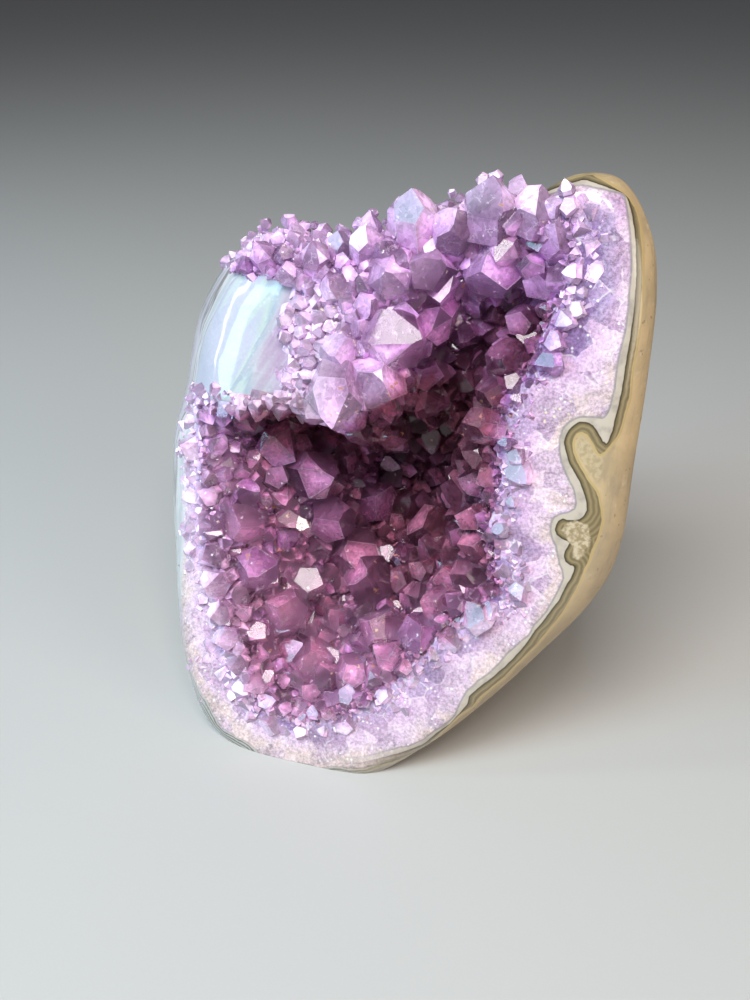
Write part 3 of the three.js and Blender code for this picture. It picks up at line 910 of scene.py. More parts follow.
@dataclass(frozen=True)
class Growth:
    """How the crystals are spread: those listed and the sizes of those between them.

    A row of standing, wall or left holds a place, a half width and a length, and in standing a
    way. A row of shown holds the place of a face that mirrors the named lamp, and its size. The
    area is a left side, a bottom, a width and a height.
    """

    crust: float = 3.0
    root: float = 1.5
    glint_overhead: float = 1.1
    glint_wall: float = 0.35
    glint_other: float = 1.3
    glint_long: float = 2.1
    glint_turn: float = 0.06
    area: tuple[float, float, float, float] = (-52.0, 4.0, 104.0, 146.0)
    half_dome: float = 1.9
    half_corner: float = 2.5
    dome_reach: float = 0.8
    step: float = 3.0
    off_wall: tuple[float, float, float] = (-0.8, 0.1, 0.55)
    standing: Rows = (
        (7.5, 137, 5.5, 10, -0.05, 0.85, 0.55), (25, 141, 5.5, 10, 0, 0.85, 0.5),
        (33, 142.5, 4, 7, 0.25, 0.8, 0.5), (-29, 128.5, 3.2, 4.5, -0.2, 0.6, 0.8),
        (-16, 128.5, 3.6, 5, 0, 0.7, 0.7), (-4, 132.5, 4, 6, 0.1, 0.7, 0.7),
        (16, 138, 4.5, 7, 0.2, 0.6, 0.75), (41, 140, 5, 5, -0.1, 0.4, 0.9),
        (26, 133, 6.5, 9, -0.1, -0.1, 1), (12, 131, 5, 9, -0.3, 0.1, 0.95),
        (14, 124, 4.5, 11, -0.1, -0.55, 0.8), (3, 128, 4.5, 7, 0.1, 0.15, 1),
        (4, 114, 6.5, 9, 0.75, 0.1, 0.65), (1, 105, 6, 9, 0.6, -0.35, 0.7),
        (-6, 103, 7, 11, 0.1, -0.7, 0.7), (-7, 110, 5.5, 5, 0.1, -0.1, 1),
        (-15, 98.5, 2.4, 3, 0.1, -0.95, 0.25), (-20.5, 98.5, 2.6, 3, 0, -0.95, 0.25),
        (-25.8, 97.8, 2.4, 3.5, -0.1, -0.95, 0.25), (-31, 96.5, 2.2, 2.5, 0, -0.95, 0.25),
        (-35.5, 94, 2.4, 2.5, 0, -0.95, 0.25), (-11, 132.5, 2.6, 3, 0, 0.8, 0.6),
        (-5, 136, 2.8, 4, 0.1, 0.9, 0.4), (2, 140, 2.8, 4, 0, 0.9, 0.4),
        (-16, 62, 6.5, 13, 0.45, 0.15, 0.85),
        (-7, 54, 6.5, 13, 0.35, -0.25, 0.9), (-22, 75, 6, 12, 0.75, 0.1, 0.6),
        (-33, 61, 5.5, 8, 0.3, 0.1, 0.95), (-29, 49, 5.5, 8, 0.2, 0, 1),
        (-19, 37, 5.5, 9, 0, 0.35, 0.9), (0, 45, 6, 12, 0.1, 0.4, 0.9),
        (10, 36, 6, 10, -0.3, 0.5, 0.8), (-10, 24, 6, 8, 0.1, 0.6, 0.75),
        (3, 25, 4.5, 7, -0.1, 0.55, 0.8), (15, 62, 6, 11, -0.1, 0.2, 1),
        (-22, 126, 2.8, 3.5, -0.1, 0.3, 0.95), (-10, 124, 3.8, 4.5, 0, 0.3, 0.95),
    )
    wall: Rows = (
        (41, 130, 4, 5), (38.5, 121, 4, 6), (36, 112, 4.5, 6), (33.5, 104, 3.8, 5),
        (32.6, 96, 4, 6), (31.2, 88, 3.6, 5), (31, 80, 4, 6), (31.6, 72, 3.6, 5),
        (33.5, 65, 3.6, 5), (33, 57, 4.5, 6), (27, 49, 4, 6),
    )
    off_left: tuple[float, float, float] = (-0.18, -0.08, 1.0)
    left: Rows = (
        (-38.5, 77, 3.4, 2.5), (-40, 69, 3.2, 2), (-39.5, 61, 3.7, 2.5), (-38, 53, 3.2, 2),
        (-36.5, 45.5, 3.8, 2.5), (-34, 38, 3.3, 2), (-32, 31, 3.6, 2), (-28.5, 24.5, 3.4, 1.5),
        (-24, 19, 3.8, 1.5), (-16.5, 15.5, 3.6, 1), (-9, 14.5, 3.2, 0.5), (-1.5, 18.5, 3.4, 1),
        (5.5, 22.5, 3.2, 1), (-19, 26, 3.6, 3), (-8, 22, 3.4, 2), (-26, 33, 3.6, 3),
    )

    shown: tuple[tuple[str, Rows], ...] = (
        ("overhead", (
            (5.3, 140.6, 0, 2.1), (11.3, 136.1, 1.1, 2.7), (14.1, 127, -2.7, 4.5),
            (11.5, 118.1, -7, 2.1), (18.7, 141.9, 1.2, 3), (28.5, 136.3, 2, 4.3),
            (41, 152.5, 1.4, 2.2), (42.3, 147.1, 2, 3), (44.2, 133.7, 2, 2.9),
            (28.3, 112.8, -18.2, 2.9), (34.1, 108.2, 0.5, 3.1), (20.4, 152.6, -7.2, 1.9),
            (18.5, 99.5, -28.6, 1.3), (-35.3, 81.5, -4.4, 1.9), (-33.3, 84.6, -6.8, 1.2),
            (1.9, 55.1, -27, 2.7), (-23.5, 48.1, -6.1, 3.6), (-13.2, 47.5, -12.4, 3.8),
            (-37.2, 59.7, 0, 2.5), (-9.5, 50.6, -23.7, 1.2), (-5.1, 75.1, -32.2, 1.2),
            (-2.3, 44.3, -17.8, 2.1), (-32.4, 54.7, -3.1, 1.9), (7.8, 82.3, -35.2, 2.2),
            (5, 76.7, -40.9, 2.4), (8.7, 71.5, -40.4, 2.5), (10.1, 67.1, -38.5, 1.5),
            (21, 76, -34.4, 1.5), (31.4, 90, -6.9, 1.8), (26.6, 64.5, -14, 1.5),
            (26.2, 58.7, -9.5, 1.9), (35.7, 61.3, -2.5, 2.1), (30.8, 70.4, -4.3, 1.3),
            (28.8, 55.4, -4.3, 2.1), (25.3, 51, -4.9, 2.7), (16.9, 45.5, -7, 1.9),
            (-6.4, 28, -7.4, 3.3), (-0.7, 25.7, -3.1, 2.1), (4.4, 29.5, -2.9, 2.5),
            (-23.7, 33.4, -2.4, 3), (-14.1, 36.1, -13.2, 2.5), (-20, 22.5, -2.1, 1.8),
            (9.2, 44.3, -15.7, 1.3), (-9.8, 60.3, -27.9, 1.3), (-18.2, 68.5, -17.9, 2.1),
            (-9.2, 9.4, 1.6, 1.8), (4.6, 121.1, 2, 1.5), (-4.3, 103.7, 2, 2.4),
        )),
        ("window", (
            (39.8, 121.3, -2.7, 1.3), (45.3, 122.8, 2, 2.2), (47.5, 125.2, 1.5, 1.6),
            (43.4, 117.7, 2, 2.2), (41.1, 113, 2, 2.2), (44.4, 112.6, 1.6, 1.8),
            (23.8, 154.1, -7.8, 1.3), (23.6, 135.2, -4.3, 1.3), (-19.4, 35.4, -6.1, 3.6),
            (-15.3, 29, -7, 3.3), (39.3, 86, 2, 3), (34.2, 93.5, 1.9, 1.2), (38.2, 89.9, 1.7, 1.9),
            (38.4, 79.2, 1.2, 1.3), (35.5, 72.4, 2, 1.5), (36.2, 51.2, 1.8, 2.1),
            (32.1, 51.7, 2, 3), (34.9, 54.8, -1.1, 1.3), (42.9, 57.5, 1.9, 2.1),
            (-25.8, 18.1, 1.7, 2.1), (-18.1, 16.5, 1.3, 2.2), (12.1, 23.9, 1.4, 1.6),
            (2.3, 23.3, -0.5, 2.4),
        )),
        ("bulb", (
            (-6.9, 56.2, -25.5, 2.1), (-19, 61.1, -16.6, 1.9), (30.2, 121, -14.6, 1.2),
        )),
    )

    def mirrors(self, lamps: Mapping[str, Sequence[float]], camera: Sequence[float]) -> Seeds:
        """Crystals with a face that shows a lamp to someone who stands where the camera is.

        That face's normal halves the angle between the ways to the camera and to the lamp, give
        or take a little. The crystal's length is turned away from it by the lean of a point's
        faces, towards the way out of the stone. Its half width is 1.1 or 1.3 times the listed
        size, and less on the right wall; it is 2.1 half widths long.

        Args:
            lamps: The lamps' places in the row's frame, by name.
            camera: The camera's place in the row's frame.

        Returns:
            The crystals, their roots below the middle of that face.
        """
        lean = math.radians(CrystalForm().lean)
        found = None
        for number, (name, spots) in enumerate(self.shown):
            t = np.array(spots, float)
            wall = smooth(t[:, 0], 12.0, 26.0) * smooth(t[:, 1], 60.0, 80.0)
            above = name == "overhead"
            size = self.glint_overhead - self.glint_wall * wall if above else self.glint_other
            face, half = t[:, :3], t[:, 3] * size
            to_lamp = unit(FACE.to_face(np.array([lamps[name]])) - face)
            to_camera = unit(FACE.to_face(np.array([camera])) - face)
            item = np.arange(len(t)) + 100 * number
            shifts = (Draw.SHIFT_X, Draw.SHIFT_Y, Draw.SHIFT_Z)
            jitter = np.stack([chance(item, k) - 0.5 for k in shifts], -1) * self.glint_turn
            shine = unit(to_lamp + to_camera + jitter)
            out = self.normals(face[:, 0], face[:, 1])
            side = unit(out - (out * shine).sum(-1, keepdims=True) * shine)
            way = math.cos(lean) * shine + math.sin(lean) * side
            flat = unit(shine - (shine * way).sum(-1, keepdims=True) * way)
            long = half * self.glint_long
            middle = 0.45 * half[:, None] * flat + (long - 0.57 * half)[:, None] * way
            base = Seeds(face - middle, way, half, long, np.zeros(len(t)), np.ones(len(t)))
            axes = CrystalForm().frames(base)
            spin = np.arctan2((flat * axes[:, 1]).sum(-1), (flat * axes[:, 0]).sum(-1))
            base = Seeds(base.root, way, half, long, spin, base.wide)
            found = base if found is None else found.joined(base)
        return found

    def placed(self) -> Seeds:
        """The listed crystals, sunk in the stone by the root's depth.

        Returns:
            The crystals.
        """
        rows = [*self.standing, *((*w, *self.off_wall) for w in self.wall),
                *((*w, *self.off_left) for w in self.left)]
        t = np.array(rows, float)
        depth = NODULE.front_depth(t[:, 0], t[:, 1])
        root = np.column_stack([t[:, 0], t[:, 1], -self.root - depth])
        item = np.arange(len(t)) + 7
        long = t[:, 3] + self.crust + self.root
        return Seeds(root, unit(t[:, 4:7]), t[:, 2], long, *habit(item))

    def normals(self, x: Array, y: Array) -> Array:
        """The way out of the stone, from its slope over 3 mm each way.

        Args:
            x: Places to the right.
            y: Places up the face.

        Returns:
            Unit vectors.
        """
        h, step = NODULE.front_depth, self.step
        dx = (h(x + step, y) - h(x - step, y)) / (2.0 * step)
        dy = (h(x, y + step) - h(x, y - step)) / (2.0 * step)
        return unit(np.stack([dx, dy, np.ones_like(x)], -1))

    def rim_reach(self, x: Array, y: Array) -> Array:
        """How far out over the rim crystals grow.

        7 mm on the right, 9 mm on the left and above, and 3.5 mm more at the lower left. On the
        polished dome they keep to its edge.

        Args:
            x: Places to the right.
            y: Places up the face.

        Returns:
            Millimetres.
        """
        left = smooth(-x, 10.0, 34.0) * smooth(96.0 - y, 0.0, 10.0)
        corner = 3.5 * smooth(-x, -6.0, 12.0) * smooth(30.0 - y, 0.0, 14.0)
        reach = 7.0 + 2.0 * np.maximum(left, smooth(y, 126.0, 134.0)) + corner
        right, bottom, top = NODULE.bare
        return np.where((x < right) & (y > bottom) & (y < top), self.dome_reach, reach)

    def spread(self, grown: Seeds, tries: int, small: float, large: float, spacing: float,
               tilt: float, start: int, rim: bool = False) -> Seeds:
        """Adds crystals in the gaps: evenly spread tries, each kept if no crystal is too near.

        Half widths are at most 1.9 mm beside the dome and 2.5 mm at the top left, and none grows
        under the ledge's lip. A crystal leans from the stone's normal by its own three numbers.

        Args:
            grown: The crystals that stand already.
            tries: How many places are tried.
            small: Least half width.
            large: Greatest half width.
            spacing: Least distance over the sum of two half widths.
            tilt: How far a crystal leans from the stone's normal.
            start: The first try's number, so that two spreads differ.
            rim: Whether they grow out of the rim beside the hollow, sunk in it, and not inside.

        Returns:
            All the crystals, old and new.
        """
        i = np.arange(start + 1, start + tries + 1)
        left, bottom, width, height = self.area
        x = left + width * ((i * STEP_X) % 1.0)
        y = bottom + height * ((i * STEP_Y) % 1.0)
        half = small + (large - small) * chance(i, Draw.SIZE) ** 1.6
        under = (y > 84.0) & (y < 95.5) & (x > -33.0) & (x < -3.0)
        sugar = smooth(-4.0 - x, 0.0, 5.0) * smooth(y, 97.0, 99.0) * smooth(128.0 - y, 0.0, 4.0)
        half = half + (np.minimum(half, self.half_dome) - half) * sugar
        corner = smooth(-3.0 - x, 0.0, 6.0) * smooth(y, 122.0, 126.0)
        half = half + (np.minimum(half, self.half_corner) - half) * corner
        cover = NODULE.cover(x, y)
        out = self.rim_reach(x, y) * chance(i, Draw.REACH) * np.minimum(1.0, 2.0 / half)
        keep = (cover > -out) & (cover < 1.5) if rim else (cover >= 0.6 * half) & ~under
        i, x, y, half = i[keep], x[keep], y[keep], half[keep]
        deeper = 0.1 * np.maximum(-cover[keep], 0.0)
        low = smooth(14.0 - y, 0.0, 8.0)
        sunk = np.where(rim, -0.7 * half - deeper - low, self.crust * 0.3)
        root = np.column_stack([x, y, sunk - NODULE.front_depth(x, y)])
        roots, halves, kept = grown.root.copy(), grown.half.copy(), []
        for n in range(len(i)):
            near = np.linalg.norm(roots - root[n], axis=1) < spacing * (halves + half[n])
            if not near.any():
                kept.append(n)
                roots = np.vstack([roots, root[n]])
                halves = np.append(halves, half[n])
        i, half, root = i[kept], half[kept], root[kept]
        leans = (Draw.LEAN_X, Draw.LEAN_Y, Draw.LEAN_Z)
        lean = np.stack([tilt * (2.0 * chance(i, k) - 1.0) for k in leans], -1)
        way = unit(self.normals(root[:, 0], root[:, 1]) + lean)
        long = half * (1.5 + 0.4 * chance(i, Draw.LENGTH))
        return grown.joined(Seeds(root, way, half, long, *habit(i)))


@dataclass(frozen=True)
class CrystalForm:
    """A quartz crystal as the planes of its faces: six of the prism, six of the point, one root."""

    lean: float = 51.8
    uneven: float = 0.14
    fanned: float = 1.6
    even_share: float = 0.4
    apart: float = 0.62
    even: float = 0.14
    least: float = 0.02
    nearer: float = 0.12

    def planes(self) -> Array:
        """The faces' outward directions, with the crystal's length along Z.

        Returns:
            Thirteen unit vectors: the prism's, the point's and the root's.
        """
        turn = np.radians(60.0 * np.arange(6))
        flat = np.stack([np.cos(turn), np.sin(turn), np.zeros(6)], -1)
        up = math.radians(self.lean)
        point = flat * math.sin(up) + np.array([0.0, 0.0, math.cos(up)])
        return np.concatenate([flat, point, [[0.0, 0.0, -1.0]]])

    def reaches(self, seeds: Seeds) -> Array:
        """Each face's distance from the root's middle.

        The prism's are the half width, uneven by a share and wider or narrower one way. The
        point's are the length times cos(lean), every other one further out, by more in three
        crystals of five, so that three faces of the point are large and three small.

        Args:
            seeds: The crystals.

        Returns:
            One row to a crystal, thirteen numbers each.
        """
        item = np.arange(len(seeds.half))[:, None]
        k = np.arange(6)[None]
        odd = k % 2
        half = seeds.half[:, None]
        side = np.abs(np.cos(np.radians(60.0 * k)))
        prism = half * (1.0 + self.uneven * (2.0 * chance(item * 6 + k, Draw.PRISM) - 1.0))
        prism = prism * (1.0 + (seeds.wide[:, None] - 1.0) * side)
        share = chance(item * 6 + k, Draw.POINT)
        tip = seeds.long[:, None] * math.cos(math.radians(self.lean))
        further = np.where(chance(item, Draw.UNEVEN) > self.even_share, self.apart, self.even)
        point = tip + half * np.where(odd == 1, self.least + further * share, -self.nearer * share)
        return np.concatenate([prism, point, np.zeros_like(half)], 1)

    def frames(self, seeds: Seeds) -> Array:
        """Each crystal's three axes: its length is the third, spun about itself.

        Args:
            seeds: The crystals.

        Returns:
            Three axes to a crystal, one to a row.
        """
        z = seeds.way
        side = np.where(np.abs(z[:, 2:3]) < 0.9, [[0.0, 0.0, 1.0]], [[1.0, 0.0, 0.0]])
        x = unit(np.cross(side, z))
        y = np.cross(z, x)
        c, s = np.cos(seeds.spin)[:, None], np.sin(seeds.spin)[:, None]
        return np.stack([c * x + s * y, c * y - s * x, z], 1)

    def corners(self, seeds: Seeds) -> tuple[Array, Array, Array]:
        """The points where three faces meet and no other face cuts them off.

        Args:
            seeds: The crystals.

        Returns:
            Points for every crystal and every three planes, which of them are corners, and the
            planes' numbers.
        """
        planes, reach = self.planes(), self.reaches(seeds)
        triples = np.array(list(combinations(range(len(planes)), 3)))
        sets = planes[triples]
        meets = np.abs(np.linalg.det(sets)) > 1e-3
        triples, sets = triples[meets], sets[meets]
        points = np.einsum("tij,ntj->nti", np.linalg.inv(sets), reach[:, triples])
        beyond = np.einsum("nti,pi->ntp", points, planes) - reach[:, None, :]
        own = (np.arange(len(planes))[None] == triples[..., None]).any(1)
        return points, (np.where(own[None], -1.0, beyond) < 0.0).all(-1), triples

    def mesh(self, seeds: Seeds, name: str, numbers: Array) -> bpy.types.Object:
        """Makes one object of many crystals; each face's corners are sorted round its middle.

        Args:
            seeds: The crystals.
            name: The object's name.
            numbers: A number for each crystal, stored on its faces.

        Returns:
            The object, with the attribute "crystal" on its faces.
        """
        points, real, triples = self.corners(seeds)
        ids = (np.cumsum(real.ravel()) - 1).reshape(real.shape)
        loops, totals, owners = [], [], []
        for p, way in enumerate(self.planes()):
            mine = np.flatnonzero((triples == p).any(1))
            on = real[:, mine]
            spots = np.where(on[..., None], points[:, mine], 0.0)
            middle = spots.sum(1, keepdims=True) / np.maximum(on.sum(1), 1)[:, None, None]
            across = unit(np.cross(way, [0.3, 0.5, 0.81]))
            rel = points[:, mine] - middle
            turn = np.arctan2(rel @ np.cross(way, across), rel @ across)
            order = np.argsort(np.where(on, turn, np.inf), 1)
            count = on.sum(1)
            used = (np.arange(len(mine))[None] < count[:, None]) & (count[:, None] > 2)
            rows = np.take_along_axis(ids[:, mine], order, 1)
            loops.append(rows[used])
            totals.append(count[count > 2])
            owners.append(numbers[count > 2])
        spun = np.einsum("nti,nij->ntj", points, self.frames(seeds)) + seeds.root[:, None]
        loops, totals, owners = (np.concatenate(part) for part in (loops, totals, owners))
        large = np.isin(owners, numbers[seeds.half > self.fanned])
        spots, loops, totals, origin, middle = fans(spun[real], loops, totals, large)
        item = new_mesh(name, FACE.to_row(spots), loops, totals)
        paint(item, "crystal", owners[origin], Domain.FACE)
        paint(item, "middle", middle, Domain.CORNER)
        return item


def fans(points: Array, loops: Array, totals: Array, chosen: Array) -> tuple[Array, ...]:
    """Cuts chosen faces into triangles round their middles, so that a number may vary over them.

    Args:
        points: The points' places.
        loops: The faces' point numbers, one face after another.
        totals: How many points each face has.
        chosen: Which faces are cut.

    Returns:
        The new points, loops and totals, the face that each new face comes from, and for each
        corner 1 at a middle, 0 at a cut face's edge and 0.5 on the faces left whole.
    """
    start = np.cumsum(totals) - totals
    owner = np.repeat(np.arange(len(totals)), totals)
    sums = [np.bincount(owner, points[loops, k], len(totals)) for k in range(3)]
    middles = np.stack(sums, -1) / totals[:, None]
    after = loops[start[owner] + (np.arange(len(loops)) - start[owner] + 1) % totals[owner]]
    cut = chosen[owner]
    triangles = np.stack([len(points) + owner[cut], loops[cut], after[cut]], -1)
    whole = ~chosen
    return (
        np.concatenate([points, middles]),
        np.concatenate([triangles.ravel(), loops[~cut]]),
        np.concatenate([np.full(len(triangles), 3), totals[whole]]),
        np.concatenate([owner[cut], np.flatnonzero(whole)]),
        np.concatenate([np.tile([1.0, 0.0, 0.0], len(triangles)), np.full((~cut).sum(), 0.5)]),
    )


def apart(seeds: Seeds) -> Array:
    """Sorts crystals into groups whose members don't touch: each takes the lowest free group.

    Two may touch where their middles are nearer than the sum of two radii of balls round them.

    Args:
        seeds: The crystals.

    Returns:
        Each crystal's group.
    """
    middle = seeds.root + seeds.way * seeds.long[:, None] * 0.5
    size = np.hypot(seeds.long * 0.56, seeds.half * 1.25)
    groups = np.full(len(size), -1)
    for n in range(len(size)):
        near = np.linalg.norm(middle - middle[n], axis=1) < size + size[n]
        taken = set(groups[near & (groups >= 0)].tolist())
        groups[n] = min(g for g in range(len(taken) + 1) if g not in taken)
    return groups


def join(first: bpy.types.Object, others: Sequence[bpy.types.Object]) -> bpy.types.Object:
    """Joins closed bodies in one closed body without inner walls, and removes the others.

    Args:
        first: The body that the others are added to.
        others: The other bodies.

    Returns:
        The first object, with the joined mesh.
    """
    for other in others:
        step = first.modifiers.new("join", "BOOLEAN")
        step.operation, step.solver, step.object = "UNION", "MANIFOLD", other
    bpy.context.view_layer.update()
    seen = first.evaluated_get(bpy.context.evaluated_depsgraph_get())
    whole = bpy.data.meshes.new_from_object(seen)
    first.modifiers.clear()
    old, first.data = first.data, whole
    whole.name = first.name
    whole.shade_flat()
    bpy.data.meshes.remove(old)
    for other in others:
        bpy.data.meshes.remove(other.data)
    return first


@dataclass
class CrystalCrust:
    """The purple crystals that line the hollow: one body that the crystals and their bed make."""

    bed_spokes: int = 180
    bed_rings: int = 64
    bed_over: float = 1.2
    bed_under: float = 2.2
    bed_inset: float = 0.5
    steepest: float = 2.5
    bed_lumps: float = 0.45
    fill: Rows = (
        (5200, 3.4, 5.8, 0.85, 0.55), (7000, 2.2, 4.2, 0.64, 0.5), (14000, 0.9, 2.0, 0.68, 0.6),
    )
    fringe: Rows = ((3000, 2.4, 3.8, 0.78, 0.5), (30000, 0.8, 2.2, 0.64, 0.5))
    tries_apart: int = 30000
    bed_tone: float = 0.3
    name: str = "crystal_crust"

    def seeds(self) -> Seeds:
        """All the crystals: those listed, the large ones between them, the small ones.

        Returns:
            The crystals.
        """
        growth = Growth()
        studio = Studio()
        lamps = {lamp.name: lamp.place for lamp in studio.lamps}
        grown = growth.placed().joined(growth.mirrors(lamps, studio.camera_place))
        rounds = [(row, False) for row in self.fill] + [(row, True) for row in self.fringe]
        for n, ((tries, *sizes), rim) in enumerate(rounds):
            start = self.tries_apart * (n + rim)
            grown = growth.spread(grown, int(tries), *sizes, start, rim)
        return grown

    def bed(self) -> bpy.types.Object:
        """The layer that the crystals grow from: the stone's surface, raised above and sunk below.

        Both are measured across the slope, and the top sinks under the stone past the crystals.

        Returns:
            A closed slab, sunk under the stone where no crystal grows.
        """
        angle = np.linspace(-np.pi, np.pi, self.bed_spokes, endpoint=False)
        reach = NODULE.hollow_radius(angle) - self.bed_inset
        share = np.arange(1, self.bed_rings + 1)[:, None] / self.bed_rings
        x, y = NODULE.at(np.broadcast_to(angle, (self.bed_rings, self.bed_spokes)), share * reach)
        depth = NODULE.front_depth(x, y)
        steep = np.minimum(1.0 / Growth().normals(x, y)[..., 2], self.steepest)
        flat = np.stack([x, y], -1)
        over = (self.bed_over + 0.5) * smooth(NODULE.cover(x, y), 0.0, 3.5) - 0.5
        over = over + self.bed_lumps * waves(flat, 4.0, 21) * smooth(over, 0.0, 1.0)
        top = np.concatenate([flat, (over * steep - depth)[..., None]], -1)
        foot = np.concatenate([flat, (-self.bed_under * steep - depth)[..., None]], -1)
        rings = np.concatenate([top, foot[::-1]])
        item = grid("bed", FACE.to_row(rings))
        rewrite(item, lambda shape: bmesh.ops.triangulate(shape, faces=shape.faces[:]))
        paint(item, "crystal", np.full(len(item.data.polygons), -1.0), Domain.FACE)
        paint(item, "middle", np.full(len(item.data.loops), 0.5), Domain.CORNER)
        return item

    def mark(self, item: bpy.types.Object, seeds: Seeds) -> None:
        """Stores for the finish what each face and corner is like.

        Each face has a number of its own. Each corner has its share of its crystal's length, the
        tone of its crystal, redder to the foot, the painted shade of its place, and how pale and
        frosted its place is.

        Args:
            item: The crust.
            seeds: The crystals.
        """
        mesh = item.data
        owner = read(mesh.attributes["crystal"].data, "value", len(mesh.polygons))
        owner = np.round(owner).astype(int)
        totals = read(mesh.polygons, "loop_total", len(mesh.polygons), np.int32)
        corner = read(mesh.loops, "vertex_index", len(mesh.loops), np.int32)
        normals = read(mesh.polygons, "normal", len(mesh.polygons) * 3)
        who = np.repeat(owner, totals)
        p = places(item)[corner]
        x, y = p[:, 0], p[:, 1]
        on = who >= 0
        along = np.zeros(len(who))
        rel = p[on] - seeds.root[who[on]]
        along[on] = (rel * seeds.way[who[on]]).sum(-1) / seeds.long[who[on]]
        tone = np.where(owner >= 0, chance(owner, Draw.TONE), self.bed_tone)
        tone = np.repeat(tone, totals)
        form = CrystalForm()
        axes = form.frames(seeds)[np.maximum(owner, 0)]
        turned = np.einsum("nij,nj->ni", axes, normals.reshape(-1, 3) @ FACE.axes().T)
        planes = form.planes()
        facet = np.argmax(turned @ planes.T, 1) + len(planes) * owner
        paint(item, "facet", chance(facet, Draw.FACET), Domain.FACE)
        for name, values in (("along", np.clip(along, 0.0, 1.0)),
                             ("tone", 0.5 * tone + 0.5 * (1.0 - smooth(y, 40.0, 125.0))),
                             ("shade", NODULE.painted_shade(x, y)), ("pale", self.pale(x, y)),
                             ("frost", self.frost(x, y))):
            paint(item, name, values, Domain.CORNER)

    def pale(self, x: Array, y: Array) -> Array:
        """How pale the crystals are in the shallow parts of the hollow.

        The greatest of four shares, times a share that falls to 0 at 16 mm of depth: 1 on the
        ledge, 0.3 everywhere and 1 at the left wall, 0.6 at the foot, 0.8 to 1 at the crest.

        Args:
            x: Places to the right.
            y: Places up the face.

        Returns:
            Shares of 0 to 1.
        """
        ledge = smooth(36.0 - np.hypot(x + 8.0, y - 110.0), 0.0, 10.0)
        left = smooth(-x - 0.12 * (y - 60.0), 22.0, 38.0) * smooth(100.0 - y, 0.0, 12.0)
        foot = 0.6 * smooth(50.0 - y + 0.25 * x, 0.0, 26.0)
        crest = (0.8 + 0.2 * smooth(x, 4.0, 14.0)) * smooth(y, 112.0, 130.0)
        most = np.maximum(ledge, np.maximum(0.7 * left + 0.3, np.maximum(crest, foot)))
        return most * smooth(16.0 - NODULE.hollow_drop(x, y), 0.0, 14.0)

    def frost(self, x: Array, y: Array) -> Array:
        """How frosted the crystals are: most beyond the hollow's edge, and beside the dome.

        It falls from 1 at 3 mm outside the edge to 0 at 1.5 mm inside it, 6.5 mm at the lower left,
        and is less along the top and the right wall. Beside the dome it is at least 0.8.

        Args:
            x: Places to the right.
            y: Places up the face.

        Returns:
            Shares of 0 to 1.
        """
        cover = -NODULE.from_hollow(x, y)
        wide = 5.0 * smooth(-x, -8.0, 12.0) * smooth(46.0 - y, 0.0, 20.0)
        top = 1.0 - 0.45 * smooth(y, 126.0, 134.0)
        wall = smooth(x, 18.0, 26.0) * smooth(y, 84.0, 98.0) * smooth(126.0 - y, 0.0, 8.0)
        edge = smooth(1.5 + wide - cover, 0.0, 4.5 + wide) * top * (1.0 - 0.7 * wall)
        dome = smooth(-2.0 - x, 0.0, 8.0) * smooth(y, 90.0, 94.0) * smooth(128.0 - y, 0.0, 6.0)
        return np.maximum(edge, 0.8 * dome)

    def build(self) -> bpy.types.Object:
        """Builds, marks and dresses the crust.

        Returns:
            The crust's object.
        """
        seeds = self.seeds()
        groups = apart(seeds)
        form = CrystalForm()
        parts = [
            form.mesh(seeds.picked(groups == g), f"group_{g}", np.flatnonzero(groups == g))
            for g in range(groups.max() + 1)
        ]
        LOG.info("%d crystals in %d groups", len(groups), len(parts))
        item = join(self.bed(), parts)
        item.name = item.data.name = self.name
        self.mark(item, seeds)
        item.data.materials.clear()
        item.data.materials.append(AmethystFinish().material())
        return item


def operator(operation: str, swapped: bool = False) -> Callable[["Value", Any], "Value"]:
    """Makes an operator of wrapped sockets that adds a Math node.

    Args:
        operation: The node's operation.
        swapped: Whether the other value comes first.

    Returns:
        The operator.
    """
    def apply(value: "Value", other: Any) -> "Value":
        """The operation on this value and the other."""
        return value.shader.maths(operation, *((other, value) if swapped else (value, other)))

    return apply


class Value:
    """A shader socket that an expression may use: its operators add Math nodes."""

    def __init__(self, shader: "Shader", socket: bpy.types.NodeSocket) -> None:
        """Wraps a socket of a shader."""
        self.shader = shader
        self.socket = socket

    def maths(self, operation: str, *others: Any) -> "Value":
        """Adds a Math node with this value first."""
        return self.shader.maths(operation, self, *others)

    __add__ = __radd__ = operator("ADD")
    __mul__ = __rmul__ = operator("MULTIPLY")
    __sub__ = operator("SUBTRACT")
    __rsub__ = operator("SUBTRACT", swapped=True)
    __pow__ = operator("POWER")

    def over(self, low: float, high: float) -> "Value":
        """Rises smoothly from 0 at low to 1 at high; falls where low is the greater.

        Args:
            low: Where it is 0.
            high: Where it is 1.

        Returns:
            Numbers from 0 to 1.
        """
        start, end = (0.0, 1.0) if low < high else (1.0, 0.0)
        sockets = {0: self, 1: min(low, high), 2: max(low, high), 3: start, 4: end}
        return self.shader.node("MapRange", {"interpolation_type": "SMOOTHSTEP"}, sockets)

    def between(self, low: float, high: float, soft: float) -> "Value":
        """1 between low and high, with edges that are soft wide."""
        return self.over(low - soft, low + soft) * self.over(high + soft, high - soft)


